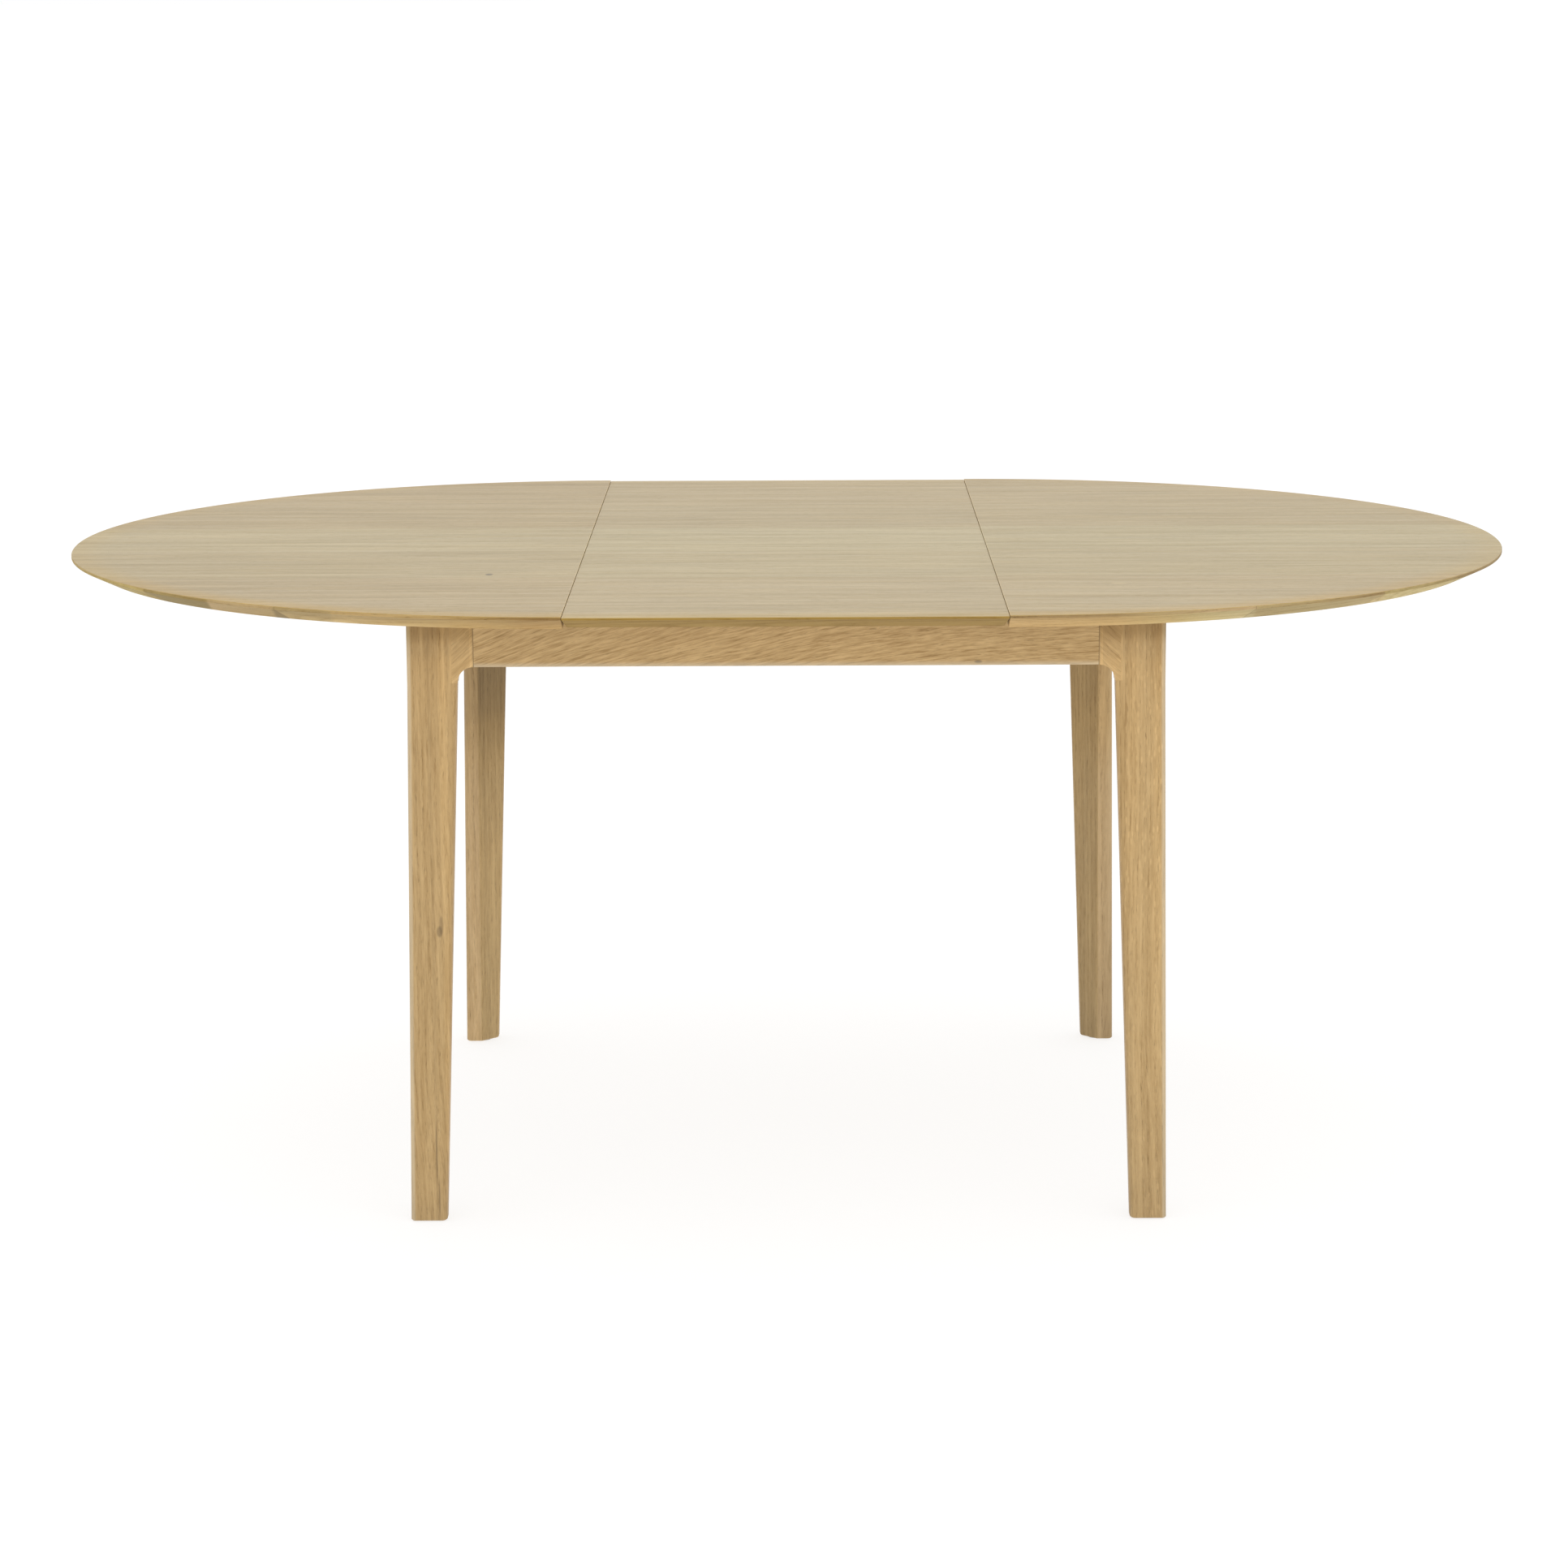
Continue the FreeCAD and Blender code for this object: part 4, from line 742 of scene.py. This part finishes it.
for node, along, across, origin, seed, tilt, curve, marks in (
    (
        "apron_front", (1, 0, 0), (0, 0, 1), (0, -0.43, 0.704), 61.0, (-0.2, 0.03), 0.22,
        ((0.2235, -0.031, 0.0065, 0.003, 0.65), (0.303, 0.014, 0.005, 0.0028, 0.5)),
    ),
    ("apron_rear", (1, 0, 0), (0, 0, 1), (0, 0.43, 0.704), 67.0, (0.09, 0.04), -0.1, ()),
    ("apron_left", (0, 1, 0), (0, 0, 1), (-0.43, 0, 0.704), 71.0, (0.06, 0.05), 0.1, ()),
    ("apron_right", (0, 1, 0), (0, 0, 1), (0.43, 0, 0.704), 73.0, (-0.05, 0.04), -0.08, ()),
):
    axis = (1, 0, 0) if along[0] else (0, 1, 0)
    dress(
        node,
        wood(
            "oak_" + node,
            along,
            across,
            origin=origin,
            colours=FRAME,
            seed=seed,
            pith=(-0.16, 0.05),
            tilt=tilt,
            curve=curve,
            ring=0.0052,
            wobble=0.005,
            lines=0.4,
            streaks=0.62,
            grit=2.3,
            stroke=1.35,
            flecks=0.2,
            tone=1.12,
            finish=apron_edge_highlight,
            marks=marks,
            joints=[(axis, -0.364, 0.0006, 0.75), (axis, 0.364, 0.0006, 0.75)],
        ),
    )

# hidden timber: pale beech slides and blocks
BEECH = tones(188, 152, 110, 0.16)
for i, (node, along, across) in enumerate(
    [
        ("runner_left_front", (1, 0, 0), (0, 1, 0)),
        ("runner_left_rear", (1, 0, 0), (0, 1, 0)),
        ("runner_right_front", (1, 0, 0), (0, 1, 0)),
        ("runner_right_rear", (1, 0, 0), (0, 1, 0)),
        ("guide_rail_front", (1, 0, 0), (0, 1, 0)),
        ("guide_rail_rear", (1, 0, 0), (0, 1, 0)),
        ("cross_bearer_left", (0, 1, 0), (1, 0, 0)),
        ("cross_bearer_right", (0, 1, 0), (1, 0, 0)),
        ("mechanism_board", (1, 0, 0), (0, 1, 0)),
        ("leaf_cleats", (1, 0, 0), (0, 1, 0)),
        ("stop_blocks_left", (0, 1, 0), (1, 0, 0)),
        ("stop_blocks_right", (0, 1, 0), (1, 0, 0)),
        ("rack_block_left", (1, 0, 0), (0, 1, 0)),
        ("rack_block_right", (1, 0, 0), (0, 1, 0)),
        ("corner_block_front_left", (1, -1, 0), (1, 1, 0)),
        ("corner_block_front_right", (1, 1, 0), (-1, 1, 0)),
        ("corner_block_rear_left", (1, 1, 0), (1, -1, 0)),
        ("corner_block_rear_right", (1, -1, 0), (-1, -1, 0)),
    ]
):
    low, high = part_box(node)
    dress(
        node,
        wood(
            "beech_" + node,
            along,
            across,
            origin=(low + high) / 2,
            colours=BEECH,
            seed=81.0 + i * 3.1,
            pith=(0.05, 0.08),
            tilt=(0.02, 0.03),
            ring=0.004,
            lines=0.4,
            streaks=0.6,
            pores=0.3,
            flecks=0.5,
            rough=0.55,
        ),
    )


# ---------------------------------------------------------------- metal, plastic, felt
def metal(name, colour, rough, brushed=(1, 0, 0), grime=0.15):
    t = Tree(name)
    p = t.coord()
    brushed = Vector(brushed).normalized()
    side = brushed.orthogonal().normalized()
    u, v, w = t.dot(p, brushed), t.dot(p, side), t.dot(p, brushed.cross(side))
    scratch = t.noise(t.vector(u * 60.0, v * 2600.0, w * 2600.0), 1.0, 2.0, 0.6)
    cloud = t.noise(p, 90.0, 4.0, 0.6)
    spots = t.step(t.noise(p, 420.0, 2.0, 0.5), 0.62, 0.75)
    colour = t.mix(t.math("MULTIPLY", cloud * grime * 2.0, 1.0, clamp=True), colour, tuple(c * 0.6 for c in colour))
    colour = t.scale(colour, 1.0 + (scratch - 0.5) * 0.18 - spots * 0.08)
    t.set(
        Base_Color=colour,
        Metallic=1.0,
        Roughness=t.math("ADD", (cloud - 0.5) * 0.25 + (scratch - 0.5) * 0.2, rough, clamp=True),
    )
    t.bump(scratch * 0.5 + cloud * 0.5, 0.12, 0.0001)
    return t.mat


def plastic(name, colour, rough, grain=1400.0, speck=0.04):
    t = Tree(name)
    p = t.coord()
    fine = t.noise(p, grain, 2.0, 0.5)
    cloud = t.noise(p, 60.0, 3.0, 0.5)
    colour = t.scale(t.mix(cloud, tuple(c * 0.92 for c in colour), colour), 1.0 + (fine - 0.5) * speck * 2.0)
    t.set(Base_Color=colour, Roughness=t.math("ADD", (cloud - 0.5) * 0.15, rough, clamp=True))
    t.bump(fine, 0.2, 0.00008)
    return t.mat


def felt(name, colour):
    t = Tree(name)
    p = t.coord()
    fuzz = t.noise(p, 2600.0, 4.0, 0.7)
    clump = t.noise(p, 320.0, 3.0, 0.6)
    colour = t.scale(colour, 0.75 + fuzz * 0.3 + clump * 0.2)
    t.set(Base_Color=colour, Roughness=0.95)
    t.bsdf.inputs["Sheen Weight"].default_value = 0.4
    t.bump(fuzz + clump, 0.6, 0.0003)
    return t.mat


zinc = metal("zinc_plated_steel", (0.62, 0.62, 0.60), 0.36)
gear_steel = metal("machined_steel", (0.42, 0.42, 0.43), 0.3, (0, 0, 1), 0.25)
rack_steel = metal("rack_steel", (0.46, 0.46, 0.47), 0.33, (1, 0, 0), 0.25)
for node in (
    "hanger_bolts",
    "bolt_nuts_and_washers",
    "base_screws",
    "top_screws_left",
    "top_screws_right",
    "cleat_screws",
    "bearer_brackets",
    "seam_plates_left",
    "seam_plates_right",
    "mechanism_plate",
):
    dress(node, zinc)
for node in ("pinion", "pinion_axle", "axle_washers"):
    dress(node, gear_steel)
for node in ("rack_left", "rack_right"):
    dress(node, rack_steel)
nylon = plastic("nylon_pads", (0.78, 0.75, 0.68), 0.42)
for node in ("slide_pads", "rack_guides"):
    dress(node, nylon)
dress("foot_glides", plastic("glide_plastic", (0.05, 0.045, 0.04), 0.4))
dress("felt_pads", felt("brown_felt", (0.13, 0.10, 0.08)))

# ---------------------------------------------------------------- stage
bpy.ops.mesh.primitive_circle_add(vertices=128, radius=300.0, fill_type="NGON")
floor = bpy.context.object
floor.name = "floor"
t = Tree("floor_paint")
cloud = t.noise(t.coord(), 1.5, 3.0, 0.5)
t.set(Base_Color=t.mix(cloud, (0.26, 0.26, 0.26), (0.28, 0.28, 0.28)), Roughness=0.9)
t.bsdf.inputs["Specular IOR Level"].default_value = 0.1
t.bsdf.inputs["Emission Color"].default_value = (1.0, 1.0, 1.0, 1.0)
t.bsdf.inputs["Emission Strength"].default_value = 0.78
floor.data.materials.append(t.mat)


def area(name, place, aim, size, power, colour=(1, 1, 1)):
    data = bpy.data.lights.new(name, "AREA")
    data.shape = "RECTANGLE"
    data.size, data.size_y = size
    data.energy = power
    data.color = colour
    lamp = bpy.data.objects.new(name, data)
    bpy.context.scene.collection.objects.link(lamp)
    lamp.location = place
    lamp.rotation_mode = "QUATERNION"
    lamp.rotation_quaternion = (Vector(aim) - Vector(place)).to_track_quat("-Z", "Y")
    lamp.visible_camera = False
    return lamp


area("softbox_front", (0.6, -6.0, 1.2), (0, 0, 0.5), (5.0, 2.0), 30.0)
area("softbox_top", (0.0, -1.0, 5.0), (0, 0, 0.4), (5.0, 5.0), 22.0)

world = bpy.data.worlds.new("studio")
bpy.context.scene.world = world
world.use_nodes = True
wt = world.node_tree
background = wt.nodes.get("Background") or wt.nodes.new("ShaderNodeBackground")
background.inputs["Color"].default_value = (1.0, 1.0, 1.0, 1.0)
background.inputs["Strength"].default_value = 1.0

# ---------------------------------------------------------------- camera
FOCAL, SIDE = 5125.0, 1932.0
yaw, pitch, roll = -0.0034236, 0.1907952, -0.0047657
forward = Vector((math.sin(yaw) * math.cos(pitch), math.cos(yaw) * math.cos(pitch), -math.sin(pitch)))
right = Vector((math.cos(yaw), -math.sin(yaw), 0.0))
up = right.cross(forward)
right, up = (
    right * math.cos(roll) + up * math.sin(roll),
    up * math.cos(roll) - right * math.sin(roll),
)
camera_data = bpy.data.cameras.new("camera")
camera = bpy.data.objects.new("camera", camera_data)
bpy.context.scene.collection.objects.link(camera)
camera_data.sensor_width = 36.0
camera_data.sensor_fit = "AUTO"
camera_data.lens = FOCAL / SIDE * 36.0
camera_data.clip_start, camera_data.clip_end = 0.05, 500.0
turn = Matrix((right, up, -forward)).transposed()
camera.matrix_world = Matrix.Translation((0.01326, -5.21982, 1.45175)) @ turn.to_4x4()
bpy.context.scene.camera = camera

bpy.context.scene.view_settings.view_transform = "Standard"
bpy.context.scene.view_settings.look = "None"
